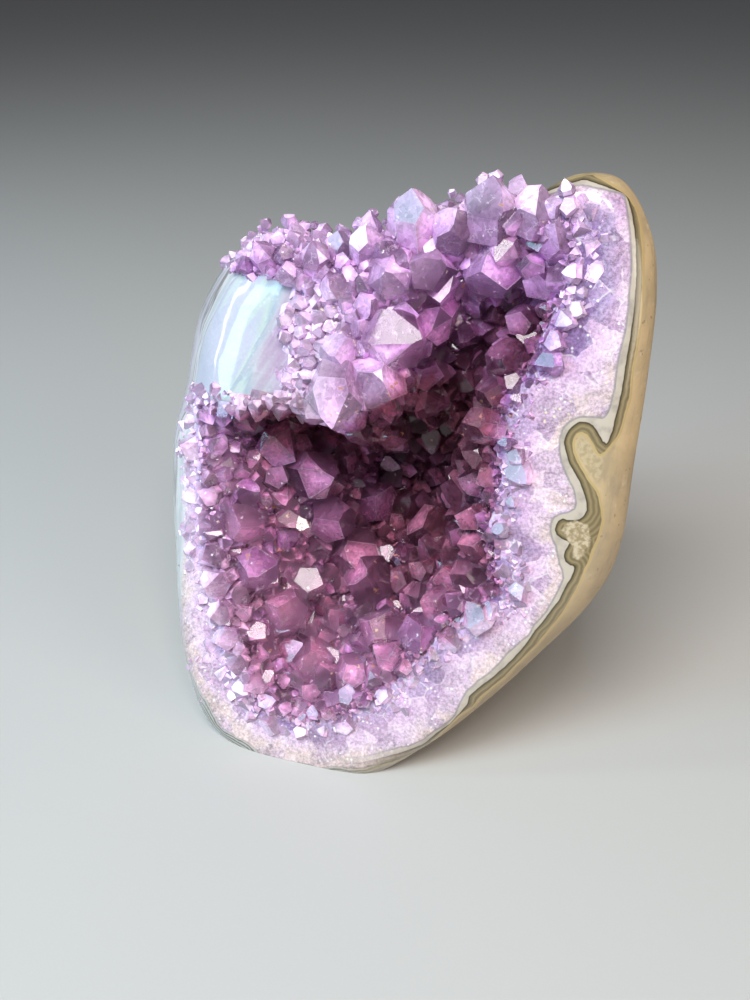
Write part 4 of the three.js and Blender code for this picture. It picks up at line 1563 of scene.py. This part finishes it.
class Shader:
    """One material's nodes."""

    def __init__(self, name: str) -> None:
        """Starts an empty material.

        Args:
            name: The material's name.
        """
        self.material = bpy.data.materials.new(name)
        self.material.use_nodes = True
        self.tree = self.material.node_tree
        self.tree.nodes.clear()

    def node(self, kind: str, settings: Mapping[str, Any] | None = None,
             sockets: Mapping[Any, Any] | None = None, output: Any = 0) -> Value:
        """Adds a node: its settings first, then the values or links of its sockets.

        Args:
            kind: The node's type without the word ShaderNode.
            settings: Properties to set; a ramp's stops go under "stops".
            sockets: Values or links by the socket's name or number.
            output: Which output to return.

        Returns:
            The output, wrapped.
        """
        made = self.tree.nodes.new("ShaderNode" + kind)
        for key, value in (settings or {}).items():
            if key == "stops":
                self.set_stops(made.color_ramp, value)
            else:
                setattr(made, key, value)
        for key, value in (sockets or {}).items():
            if isinstance(value, Value):
                self.tree.links.new(value.socket, made.inputs[key])
            else:
                made.inputs[key].default_value = value
        return Value(self, made.outputs[output])

    def set_stops(self, ramp: Any, stops: Sequence[tuple[float, Sequence[float]]]) -> None:
        """Sets a colour ramp's stops.

        Args:
            ramp: The ramp.
            stops: Positions and colours, in order.
        """
        while len(ramp.elements) > 1:
            ramp.elements.remove(ramp.elements[-1])
        ramp.elements[0].position = stops[0][0]
        ramp.elements[0].color = (*stops[0][1], 1.0)
        for position, colour in stops[1:]:
            ramp.elements.new(position).color = (*colour, 1.0)

    def maths(self, operation: str, *values: Any) -> Value:
        """Adds a Math node on numbers or wrapped sockets."""
        return self.node("Math", {"operation": operation}, dict(enumerate(values)))

    def attribute(self, name: str) -> Value:
        """A number stored on the mesh."""
        return self.node("Attribute", {"attribute_name": name}, {}, "Fac")

    def noise(self, scale: float, detail: float = 3.0, where: Value | None = None,
              rough: float = 0.55, warp: float = 0.0) -> Value:
        """Smooth noise of 0 to 1 in millimetres: scale is the size of its lumps.

        Args:
            scale: Typical lump in millimetres.
            detail: Octaves.
            where: Coordinates in metres; the piece's own when left out.
            rough: How strong the finer octaves are.
            warp: Distortion.

        Returns:
            The noise.
        """
        sockets = {"Vector": where or self.place(), "Scale": 1.0 / (scale * MM), "Detail": detail,
                   "Roughness": rough, "Distortion": warp}
        return self.node("TexNoise", {}, sockets)

    def place(self) -> Value:
        """The piece's own coordinates in metres."""
        return self.node("TexCoord", {}, {}, "Object")

    def bent(self, scale: float, shift: float) -> Value:
        """The piece's own coordinates, moved by coloured noise.

        Args:
            scale: Typical lump of the noise in millimetres.
            shift: How far it moves, in metres.

        Returns:
            Coordinates in metres.
        """
        sockets = {"Vector": self.place(), "Scale": 1.0 / (scale * MM), "Detail": 2.0}
        noise = self.node("TexNoise", {}, sockets, "Color")
        move = self.node("VectorMath", {"operation": "SCALE"}, {0: noise, "Scale": shift})
        return self.node("VectorMath", {"operation": "ADD"}, {0: self.place(), 1: move})

    def cells(self, density: float, where: Value | None = None,
              show: Cell = Cell.NUMBER) -> Value:
        """Random cells, density to a metre.

        Args:
            density: How many cells stand along a metre.
            where: Coordinates in metres; the piece's own when left out.
            show: What the cells show.

        Returns:
            The number or distance.
        """
        sockets = {"Vector": where or self.place(), "Scale": density, "Randomness": 1.0}
        if show != Cell.NUMBER:
            return self.node("TexVoronoi", {"feature": show.value}, sockets)
        colour = self.node("TexVoronoi", {}, sockets, show.value)
        return self.node("SeparateColor", {}, {0: colour})

    def vector(self, *parts: Any) -> Value:
        """Three numbers as a vector."""
        return self.node("CombineXYZ", {}, dict(enumerate(parts)))

    def ramp(self, value: Value, *stops: tuple[float, Colour]) -> Value:
        """Colours by a value, from stops of a position and a colour."""
        return self.node("ValToRGB", {"stops": stops}, {0: value})

    def shaded(self, colour: Value, *tones: Value) -> Value:
        """A colour times one tone, or times one for each of red, green and blue."""
        tone = dict(enumerate(tones * 3 if len(tones) == 1 else tones))
        return self.mix(1.0, colour, self.node("CombineColor", {}, tone), "MULTIPLY")

    def bump(self, strength: float, distance: float, height: Value) -> Value:
        """A normal tilted by a height that counts for a distance in metres."""
        sockets = {"Strength": strength, "Distance": distance, "Height": height}
        return self.node("Bump", {}, sockets)

    def surface(self, colour: Value, rough: Any, **sockets: Any) -> Value:
        """A Principled shader of a colour, a roughness and other sockets by their names."""
        named = {key.replace("_", " "): value for key, value in sockets.items()}
        return self.node("BsdfPrincipled", {}, {"Base Color": colour, "Roughness": rough, **named})

    def mix(self, share: Any, first: Any, second: Any, blend: str = "MIX") -> Value:
        """Mixes two colours: the first where share is 0, the second where it is 1.

        Args:
            share: The second colour's share.
            first: The first colour.
            second: The second colour.
            blend: How they are mixed.

        Returns:
            The colour.
        """
        pick = [c if isinstance(c, Value) else (*c, 1.0) for c in (first, second)]
        settings = {"data_type": "RGBA", "blend_type": blend}
        return self.node("Mix", settings, {0: share, 6: pick[0], 7: pick[1]}, 2)

    def finish(self, surface: Value, volume: Value | None = None) -> bpy.types.Material:
        """Links the surface, and the volume if there is one, to the output.

        Args:
            surface: The surface's shader.
            volume: The volume's shader.

        Returns:
            The material.
        """
        out = self.tree.nodes.new("ShaderNodeOutputMaterial")
        self.tree.links.new(surface.socket, out.inputs["Surface"])
        if volume is not None:
            self.tree.links.new(volume.socket, out.inputs["Volume"])
        return self.material


@dataclass(frozen=True)
class StoneFinish:
    """The stone: sugary quartz, the agate's layers, streaked polished edge and ground skin."""

    violet: Colour = (0.40, 0.24, 0.52)
    lavender: Colour = (0.62, 0.46, 0.74)
    rose: Colour = (0.72, 0.47, 0.70)
    white: Colour = (0.84, 0.62, 0.78)
    blush: Colour = (0.76, 0.58, 0.58)
    mauve: Colour = (0.36, 0.24, 0.40)
    bed: Colour = (0.82, 0.60, 0.78)
    # Painted shade: the colour that the bed under the crystals turns to where the hollow is shaded.
    deep_shade: Colour = (0.10, 0.03, 0.05)
    cream: Colour = (0.56, 0.48, 0.40)
    cream_dark: Colour = (0.40, 0.34, 0.29)
    grey: Colour = (0.27, 0.25, 0.25)
    umber: Colour = (0.075, 0.055, 0.028)
    olive: Colour = (0.18, 0.14, 0.075)
    ochre: Colour = (0.36, 0.27, 0.145)
    gold: Colour = (0.50, 0.36, 0.17)
    tan: Colour = (0.57, 0.41, 0.225)
    tan_dark: Colour = (0.42, 0.31, 0.18)
    vein: Colour = (0.88, 0.80, 0.82)
    # Painted glint colours, white and straw yellow.
    painted_glint: Colour = (0.98, 0.97, 1.0)
    straw: Colour = (0.95, 0.80, 0.52)
    fleck: Colour = (0.10, 0.08, 0.10)
    slate: Colour = (0.30, 0.31, 0.29)
    slate_dark: Colour = (0.12, 0.14, 0.11)
    ash: Colour = (0.44, 0.43, 0.40)
    eye: Colour = (0.50, 0.38, 0.24)
    crumb: Colour = (0.58, 0.47, 0.33)
    crumb_dark: Colour = (0.34, 0.25, 0.14)
    line: Colour = (0.26, 0.21, 0.15)
    scratch: Colour = (0.74, 0.61, 0.44)
    skin_low_tone: Colour = (0.34, 0.27, 0.19)
    pit: Colour = (0.20, 0.14, 0.08)
    cut_cells: float = 210.0
    speck_cells: float = 950.0
    quartz_ior: float = 1.54
    # Partly painted reflection: the pale blue layers stand in for part of the window lamp's streak.
    dome_layers: tuple[tuple[float, Colour], ...] = (
        (0.30, (0.50, 0.54, 0.64)), (0.40, (0.54, 0.66, 0.60)), (0.46, (0.38, 0.48, 0.54)),
        (0.54, (0.52, 0.53, 0.57)), (0.66, (0.45, 0.34, 0.45)), (0.80, (0.38, 0.24, 0.38)),
    )
    edge_layers: tuple[tuple[float, Colour], ...] = (
        (0.30, (0.42, 0.32, 0.49)), (0.42, (0.66, 0.61, 0.67)), (0.48, (0.27, 0.25, 0.25)),
        (0.53, (0.71, 0.68, 0.71)), (0.60, (0.52, 0.55, 0.56)), (0.68, (0.58, 0.48, 0.61)),
        (0.78, (0.34, 0.33, 0.30)),
    )

    def along(self, s: Shader, across: Value, stretch: float, ring: str = "face") -> Value:
        """Coordinates for lines that run round the stone, without a seam.

        Args:
            s: The material's nodes.
            across: Millimetres across the lines.
            stretch: Scale along them: the less it is, the longer the lines.
            ring: The attributes of the place along them: "face" is the place seen from the front,
                "round" is the direction from the middle, the same for all of a column.

        Returns:
            A vector in metres: across, then the place along.
        """
        x, y = (s.attribute(f"{ring}_{n}") * (MM * stretch) for n in "xy")
        return s.vector(across * MM, x, y)

    def quartz(self, s: Shader, rim: Value, across: Value) -> Value:
        """The polished quartz: lavender at the hollow, then pink, then cream at the agate.

        Cut crystals show as cells with pale outlines near the hollow, and as fine columns that run
        across the rim near the agate.

        Args:
            s: The material's nodes.
            rim: Millimetres outwards from the hollow's edge.
            across: 0 at the hollow's edge to 1 at the agate.

        Returns:
            Its colour.
        """
        bent = s.bent(4.0, 0.0022)
        cells = s.cells(self.cut_cells, bent)
        comb = s.noise(1.1, 4.0, self.along(s, rim * 0.22, 1.0, "round"), 0.65)
        grain = s.noise(0.7, 3.0, rough=0.7)
        high = s.attribute("face_y").over(104.0, 128.0)
        place = across - high * 0.34 + (s.noise(7.0, 3.0) - 0.5) * 0.9 + (cells - 0.5) * 0.3
        colour = s.ramp(place, (0.0, self.violet), (0.14, self.lavender), (0.45, self.rose),
                        (0.75, self.white), (1.0, self.blush))
        dusk = s.noise(13.0, 2.0).over(0.50, 0.68) * across.over(0.9, 0.3)
        colour = s.mix(dusk * 0.7, colour, self.mauve)
        dull = high * 0.08 + s.attribute("face_y").between(97.0, 108.0, 6.0) * 0.09
        tone = 0.42 - dull + grain.over(0.28, 0.72) * 0.52 + cells * 0.32
        tone = tone + (comb - 0.5) * 0.9 * across.over(0.35, 0.9)
        line = s.cells(self.cut_cells, bent, Cell.EDGE).over(0.05, 0.01)
        line = line * s.noise(5.0, 1.0).over(0.52, 0.62)
        return s.mix(line * 0.55, s.shaded(colour, tone), self.vein)

    def painted_sparkle(self, s: Shader, colour: Value) -> Value:
        """Adds painted glints: specks that catch the light, white and straw yellow, in one of three
        fine cells.

        Args:
            s: The material's nodes.
            colour: The colour without it.

        Returns:
            The colour with them.
        """
        pick = s.cells(self.speck_cells)
        speck = s.cells(self.speck_cells, show=Cell.MIDDLE).over(0.40, 0.2) * pick.over(0.66, 0.72)
        tint = s.mix(pick.over(0.92, 0.94), self.painted_glint, self.straw)
        return s.mix(speck * s.noise(6.0, 2.0).over(0.42, 0.6) * 0.8, colour, tint)

    def glaze(self, s: Shader, colour: Value) -> Value:
        """The dome's clear quartz: greenish white and lavender layers down its length, slanted like
        the window lamp's streak; its pale blue layers are partly a painted reflection of that
        streak.

        Args:
            s: The material's nodes.
            colour: The colour without it.

        Returns:
            The colour with it on the dome.
        """
        x, y = s.attribute("face_x"), s.attribute("face_y")
        run = s.vector((x - y * 0.52) * MM, y * MM * 0.10, 0.0)
        layer = 0.5 + (s.noise(4.5, 3.0, run, 0.5, 0.3) - 0.5) * 0.8 + (x + 27.0) * 0.02
        ramp = s.ramp(layer, *self.dome_layers)
        return s.mix(s.attribute("dome") * 0.85, colour, ramp)

    def streaks(self, s: Shader, behind: Value) -> Value:
        """The polished left edge: white, grey, lavender and greenish layers with dark flecks.

        Args:
            s: The material's nodes.
            behind: Millimetres behind the face plane.

        Returns:
            Its colour.
        """
        run = s.noise(16.0, 3.0, warp=0.6)
        layer = s.noise(9.0, 4.0, self.along(s, behind * 2.6 + run * 12.0, 0.12))
        ramp = s.ramp(layer, *self.edge_layers)
        fleck = s.noise(1.9, 2.0).over(0.66, 0.70) * s.noise(9.0, 1.0).over(0.48, 0.58)
        return s.mix(fleck * 0.75, ramp, self.fleck)

    def edge_lines(self, s: Shader, colour: Value) -> Value:
        """Thin grey-green layers at the lower left, where the agate meets the surface.

        Args:
            s: The material's nodes.
            colour: The colour without it.

        Returns:
            The colour with them.
        """
        out = s.attribute("white") + (s.noise(6.0, 3.0) - 0.5) * 3.2
        stripe = (out * 7.0).maths("SINE") * 0.5 + 0.5
        low = s.attribute("face_y").over(36.0, 12.0) * out.over(2.0, 3.2)
        dark = s.mix(s.attribute("face_y").over(16.0, 4.0), self.slate, self.slate_dark)
        layer = s.mix(stripe.over(0.2, 0.8), dark, self.ash)
        return s.mix(low * 0.9, colour, layer)

    def layers(self, s: Shader, quartz: Value, skin: Value) -> Value:
        """The agate: a grey line, the white layer, the olive one, a gold line, the skin.

        Args:
            s: The material's nodes.
            quartz: The quartz's colour.
            skin: The skin's colour.

        Returns:
            The right side's colour.
        """
        wave = (s.noise(2.2, 2.0) - 0.5) * 0.35
        white, olive, gold = (s.attribute(n) + wave for n in ("white", "olive", "gold"))
        clouds = s.noise(4.0, 3.0)
        colour = s.mix(white.over(-0.7, -0.25) * 0.8, quartz, self.grey)
        cream = s.mix(clouds.over(0.4, 0.7), self.cream, self.cream_dark)
        colour = s.mix(white.over(-0.12, 0.12), colour, cream)
        stripe = ((olive + clouds * 0.8) * 5.5).maths("SINE") * 0.5 + 0.5
        brown = s.mix(stripe * 0.7, self.olive, self.ochre)
        brown = s.mix(olive.over(0.55, 0.2), brown, self.umber)
        colour = s.mix(olive.over(-0.1, 0.1), colour, brown)
        colour = s.mix(gold.over(-0.45, -0.25), colour, self.gold)
        crumb = s.noise(1.1, 3.0).over(0.38, 0.62)
        eye = s.mix(crumb, self.ochre, self.eye)
        skin = s.mix(s.attribute("eye").over(0.0, 0.5) * 0.8, skin, eye)
        colour = s.mix(gold.over(0.1, 0.4), colour, skin)
        lens = s.attribute("lens") + (s.noise(1.6, 3.0) - 0.5) * 1.6
        crumbs = s.mix(crumb, self.crumb, self.crumb_dark)
        return s.mix(lens.over(0.3, 0.9), colour, crumbs)

    def skin(self, s: Shader) -> Value:
        """The ground skin: tan with darker clouds, pale scratches and pits.

        Args:
            s: The material's nodes.

        Returns:
            Its colour.
        """
        cloud = s.noise(14.0, 5.0, rough=0.62, warp=0.4)
        colour = s.mix(cloud.over(0.35, 0.68), self.tan, self.tan_dark)
        line = s.noise(2.6, 4.0, self.along(s, s.attribute("behind"), 0.16), 0.7)
        colour = s.mix(line.over(0.52, 0.66) * 0.42, colour, self.line)
        streak = s.noise(5.0, 4.0, rough=0.7).over(0.55, 0.72) * line.over(0.55, 0.42)
        colour = s.mix(streak * 0.6, colour, self.scratch)
        # Darker towards the bottom.
        low = s.attribute("face_y").over(100.0, 55.0)
        colour = s.mix(low * 0.45, colour, self.skin_low_tone)
        pit = s.noise(1.6, 2.0).over(0.66, 0.72)
        return s.mix(pit * 0.6, colour, self.pit)

    def material(self) -> bpy.types.Material:
        """The stone's material.

        Returns:
            The material, driven by the attributes that the stone's class stores.
        """
        s = Shader("polished_geode_stone")
        rim = s.attribute("rim")
        behind, warm = s.attribute("behind"), s.attribute("warm")
        quartz = self.painted_sparkle(s, self.quartz(s, rim, s.attribute("across")))
        quartz = self.glaze(s, quartz)
        skin = self.skin(s)
        quartz = self.edge_lines(s, quartz)
        streaked = s.mix(behind.over(1.5, 4.0), quartz, self.streaks(s, behind))
        border = behind + (s.noise(9.0, 4.0, rough=0.6) - 0.5) * 12.0
        left = s.mix(border.over(20.5, 23.0), streaked, skin)
        colour = s.mix(warm, left, self.layers(s, quartz, skin))
        # Painted shade: the bed darkens with the hollow's painted shade.
        bed = s.mix(s.attribute("shade").over(0.0, 0.7), self.bed, self.deep_shade)
        colour = s.mix(rim.over(0.3, -0.8), colour, bed)
        polished = behind.over(21.0, 17.0) * (1.0 - warm * s.attribute("gold").over(0.0, 0.6))
        rough = 0.5 - polished * 0.34 + s.noise(3.0, 3.0) * 0.12 - s.attribute("dome") * 0.11
        height = s.noise(1.2, 3.0) * (0.6 - s.attribute("dome") * 0.5)
        return s.finish(s.surface(colour, rough, IOR=self.quartz_ior,
                               Normal=s.bump(0.25, 0.0004, height),
                               Coat_Weight=polished * (0.6 - s.attribute("dome") * 0.3),
                               Coat_Roughness=0.06))


@dataclass(frozen=True)
class AmethystFinish:
    """Clear purple crystal: plain transmission, quartz's refraction and purple absorption."""

    frost: Colour = (0.84, 0.68, 0.86)
    pale: Colour = (0.92, 0.62, 0.94)
    violet: Colour = (0.82, 0.38, 0.95)
    magenta: Colour = (0.95, 0.33, 0.56)
    # Painted shade colours: the next two between the crystals, the third where the hollow is
    # shaded.
    crevice_shade: Colour = (0.22, 0.06, 0.14)
    gap: Colour = (0.24, 0.06, 0.28)
    dark: Colour = (0.31, 0.09, 0.13)
    rust: Colour = (0.42, 0.20, 0.08)
    gold: Colour = (0.85, 0.60, 0.24)
    absorbed: Colour = (0.80, 0.42, 0.78)
    density: float = 32.0
    quartz_ior: float = 1.544
    milk_rough: float = 0.12
    # Painted highlight colours: the first for the faces' edges, the next two for glints in cracks.
    painted_glint: Colour = (0.92, 0.80, 0.94)
    painted_spark: Colour = (0.95, 0.92, 1.0)
    painted_spark_gold: Colour = (0.95, 0.78, 0.50)
    clear: Colour = (0.99, 0.96, 1.0)
    patch_cells: tuple[float, float] = (480.0, 1300.0)
    sliver_cells: float = 620.0
    crack_cells: float = 290.0

    def body(self, s: Shader) -> Value:
        """The colour by crystal and place: paler at the rim, with painted shade at the roots
        between the crystals and in the hollow's depth.

        Args:
            s: The material's nodes.

        Returns:
            The colour.
        """
        root = s.attribute("along").over(0.92, 0.52)
        base = s.mix(s.attribute("tone").over(0.2, 0.9), self.violet, self.magenta)
        base = s.mix(s.attribute("pale") * (0.75 + 0.25 * root), base, self.pale)
        base = s.mix(s.attribute("frost") * (0.4 + 0.6 * root), base, self.frost)
        keep = s.attribute("pale") * 0.36 + s.attribute("frost") * 0.64
        # Painted shade between the crystals: towards the roots the colour darkens to a dark
        # red-violet.
        gap = s.mix(s.attribute("tone").over(0.2, 0.8), self.gap, self.crevice_shade)
        base = s.mix(root * 0.90 * (1.0 - keep), base, gap)
        # Painted shade of the hollow: the colour darkens where shade falls.
        shade = s.attribute("shade")
        return s.mix(shade * 0.70 + shade ** 4.0 * 0.19, base, self.dark)

    def veils_and_painted_reflections(self, s: Shader, colour: Value) -> Value:
        """The colour times a tone of each face, with two sizes of angular patches in it.

        A face's tone is 0.36 + 1.72 times its number to the power 1.3. It rises or falls from the
        face's edge to its middle, and nears 0.92 where the crystal is frosted. The tones and the
        patches are painted reflections: light and dark that stand in for light thrown about inside
        the crystals.

        Args:
            s: The material's nodes.
            colour: The colour without them.

        Returns:
            The toned colour.
        """
        large, small = (s.cells(n) for n in self.patch_cells)
        patch = large * 0.55 + small * 0.45
        facet = s.attribute("facet")
        painted_glow = 1.0 + (s.attribute("middle") - 0.5) * (facet * 1.25 - 0.45)
        tone = 0.36 + s.attribute("pale") * 0.08 + facet ** 1.3 * 1.72
        tone = tone * (0.60 + patch * 0.86) * painted_glow
        calm = s.attribute("frost") * 0.4
        tone = tone * (1.0 - calm) + calm * 0.92
        return s.shaded(colour, tone, tone * 0.98, tone)

    def cracks_and_painted_sparks(self, s: Shader, colour: Value) -> tuple[Value, Value]:
        """Painted glints in cracks: slivers in one fine cell of nine, white or golden, fewer in the
        painted shade, and thin frosted lines of cracks, which the painted shade also dims.

        Args:
            s: The material's nodes.
            colour: The colour without them.

        Returns:
            The colour with them, and where they are.
        """
        bent = s.bent(0.7, 0.0016)
        pick = s.cells(self.sliver_cells, bent)
        painted_spark = s.cells(self.sliver_cells, bent, Cell.MIDDLE).over(0.26, 0.14)
        painted_spark = painted_spark * pick.over(0.88, 0.90) * (1.0 - s.attribute("shade") * 0.8)
        crack = s.cells(self.crack_cells, bent, Cell.EDGE).over(0.045, 0.01)
        crack = crack * s.noise(2.6, 2.0).over(0.50, 0.60)
        crack = crack * (0.42 - s.attribute("shade") * 0.3)
        colour = s.mix(crack, colour, self.frost)
        tint = s.mix(pick.over(0.97, 0.975), self.painted_spark, self.painted_spark_gold)
        return s.mix(painted_spark * 0.85, colour, tint), painted_spark * 0.6 + crack * 0.5

    def material(self) -> bpy.types.Material:
        """The crystals' material: clear purple, with milky places and rusty specks mixed in.

        Returns:
            The material, driven by the attributes that the crust's class stores.
        """
        s = Shader("clear_amethyst")
        pale, frost, shade = s.attribute("pale"), s.attribute("frost"), s.attribute("shade")
        base = self.veils_and_painted_reflections(s, self.body(s))
        rust = s.noise(2.2, 3.0).over(0.64, 0.70) * s.noise(14.0, 1.0).over(0.5, 0.6)
        base = s.mix(rust * 0.8, base, self.rust)
        speck = s.noise(0.8, 4.0, rough=0.7).over(0.74, 0.77) * s.noise(11.0, 2.0).over(0.5, 0.6)
        base = s.mix(speck, base, self.gold)
        # Painted glints in cracks, and crack lines brighter out of the painted shade.
        base, painted_spark = self.cracks_and_painted_sparks(s, base)
        speck = speck + painted_spark
        facet = s.attribute("facet")
        # Painted highlight: pale lines along the edges of the brighter faces, fainter in the
        # painted shade.
        edge = s.attribute("middle").over(0.07, 0.015) * facet.over(0.4, 0.85)
        base = s.mix(edge * (0.34 - shade * 0.22), base, self.painted_glint)
        rough = 0.01 + s.noise(0.8, 3.0) * 0.06 + rust * 0.3
        bump = s.bump(0.03, 0.0003, s.noise(2.0, 2.0))
        # Part of the painted reflections: the clear part is tinted darker on dark faces.
        inner = s.mix(0.30 + facet.over(0.5, 0.05) * 0.34, self.clear, base)
        clear = s.surface(inner, rough, Normal=bump, IOR=self.quartz_ior, Transmission_Weight=1.0)
        milky = s.surface(base, self.milk_rough, Normal=bump, IOR=self.quartz_ior)
        cloud = 0.16 + facet * 0.36 + facet.over(0.35, 0.0) * 0.2
        cloud = cloud + pale * 0.18 + frost * 0.2 + edge * 0.1
        surface = s.node("MixShader", {}, {0: cloud + rust + speck, 1: clear, 2: milky})
        absorbed = {"Color": (*self.absorbed, 1.0), "Density": self.density}
        return s.finish(surface, s.node("VolumeAbsorption", {}, absorbed))


@dataclass(frozen=True)
class FloorFinish:
    """Plain pale card with a faint tooth."""

    colour: Colour = (0.55, 0.54, 0.53)
    shade: Colour = (0.45, 0.44, 0.43)

    def material(self) -> bpy.types.Material:
        """The card's material.

        Returns:
            The material.
        """
        s = Shader("pale_card")
        shade = s.mix(s.noise(1.0, 4.0) * 0.12, self.colour, self.shade)
        return s.finish(s.surface(shade, 0.85, Normal=s.bump(0.1, 0.0002, s.noise(0.6, 3.0))))


@dataclass(frozen=True)
class Lamp:
    """A soft area light that points at the stone."""

    name: str
    place: tuple[float, float, float]
    size: tuple[float, float]
    watts: float
    colour: Colour = (1.0, 1.0, 1.0)
    target: tuple[float, float, float] = (0.0, 0.0, 0.08)

    def build(self) -> None:
        """Adds the light."""
        data = bpy.data.lights.new(self.name, "AREA")
        data.shape, data.energy, data.color = "RECTANGLE", self.watts, self.colour
        data.size, data.size_y = self.size
        lamp = bpy.data.objects.new(self.name, data)
        lamp.location = self.place
        way = Vector(self.target) - Vector(self.place)
        lamp.rotation_euler = way.to_track_quat("-Z", "Y").to_euler()
        bpy.context.scene.collection.objects.link(lamp)


@dataclass
class Studio:
    """The floor, the soft lights and the camera."""

    floor_half: float = 4.0
    world_colour: Colour = (0.92, 0.95, 1.0)
    world_strength: float = 0.10
    nearest: float = 0.01
    camera_place: tuple[float, float, float] = (0.06915, -0.22057, 0.19452)
    camera_turn: tuple[float, float, float] = (59.0, 0.0, 17.0)
    lens: float = 35.0
    lamps: tuple[Lamp, ...] = (
        Lamp("overhead", (-0.05, -0.50, 0.86), (0.50, 0.42), 7.8, (1.0, 0.98, 0.96)),
        Lamp("window", (-0.60, -0.58, 0.50), (0.30, 0.60), 4.4, (0.42, 0.80, 0.98)),
        Lamp("far_window", (-0.82, -0.30, 0.55), (0.10, 0.50), 1.4, (0.78, 0.89, 1.0)),
        Lamp("bulb", (0.30, -0.42, 0.75), (0.12, 0.12), 1.1, (1.0, 0.93, 0.82)),
        Lamp("room", (0.75, -0.30, 0.40), (0.40, 0.40), 1.7, (1.0, 0.92, 0.82)),
    )

    def floor(self) -> None:
        """Builds the floor as a grid of two parameters."""
        u, v = np.meshgrid(np.linspace(-1.0, 1.0, 9), np.linspace(-1.0, 1.0, 9), indexing="ij")
        item = grid("card", np.stack([u, v, np.zeros_like(u)], -1) * self.floor_half, wrap=False)
        item.data.materials.append(FloorFinish().material())

    def camera(self) -> None:
        """Sets the camera where the photograph was taken."""
        data = bpy.data.cameras.new("camera")
        data.lens = self.lens
        data.clip_start = self.nearest
        item = bpy.data.objects.new("camera", data)
        item.location = self.camera_place
        item.rotation_euler = [math.radians(a) for a in self.camera_turn]
        bpy.context.scene.collection.objects.link(item)
        bpy.context.scene.camera = item

    def build(self) -> None:
        """Builds the floor, lights and camera, and sets a plain grey world."""
        self.floor()
        for lamp in self.lamps:
            lamp.build()
        self.camera()
        world = bpy.data.worlds.new("room")
        world.use_nodes = True
        background = world.node_tree.nodes["Background"]
        background.inputs["Color"].default_value = (*self.world_colour, 1.0)
        background.inputs["Strength"].default_value = self.world_strength
        scene = bpy.context.scene
        scene.world = world
        scene.view_settings.view_transform = "Standard"


def carry(item: bpy.types.Object, node: str) -> None:
    """Puts a piece on the root body in a CAD node's place, and hides that node.

    Args:
        item: The piece.
        node: The CAD node's name.
    """
    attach(item, "root")
    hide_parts(node)
    LOG.info("%s: %d faces", item.name, len(item.data.polygons))


def main() -> None:
    """Builds the geode and the studio, and writes the sizes."""
    logging.basicConfig(level=logging.INFO, format="%(name)s: %(message)s")
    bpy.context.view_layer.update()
    Studio().build()
    carry(StoneShell().build(), "stone_shell")
    carry(CrystalCrust().build(), "amethyst_crust")


if __name__ == "__main__":
    main()
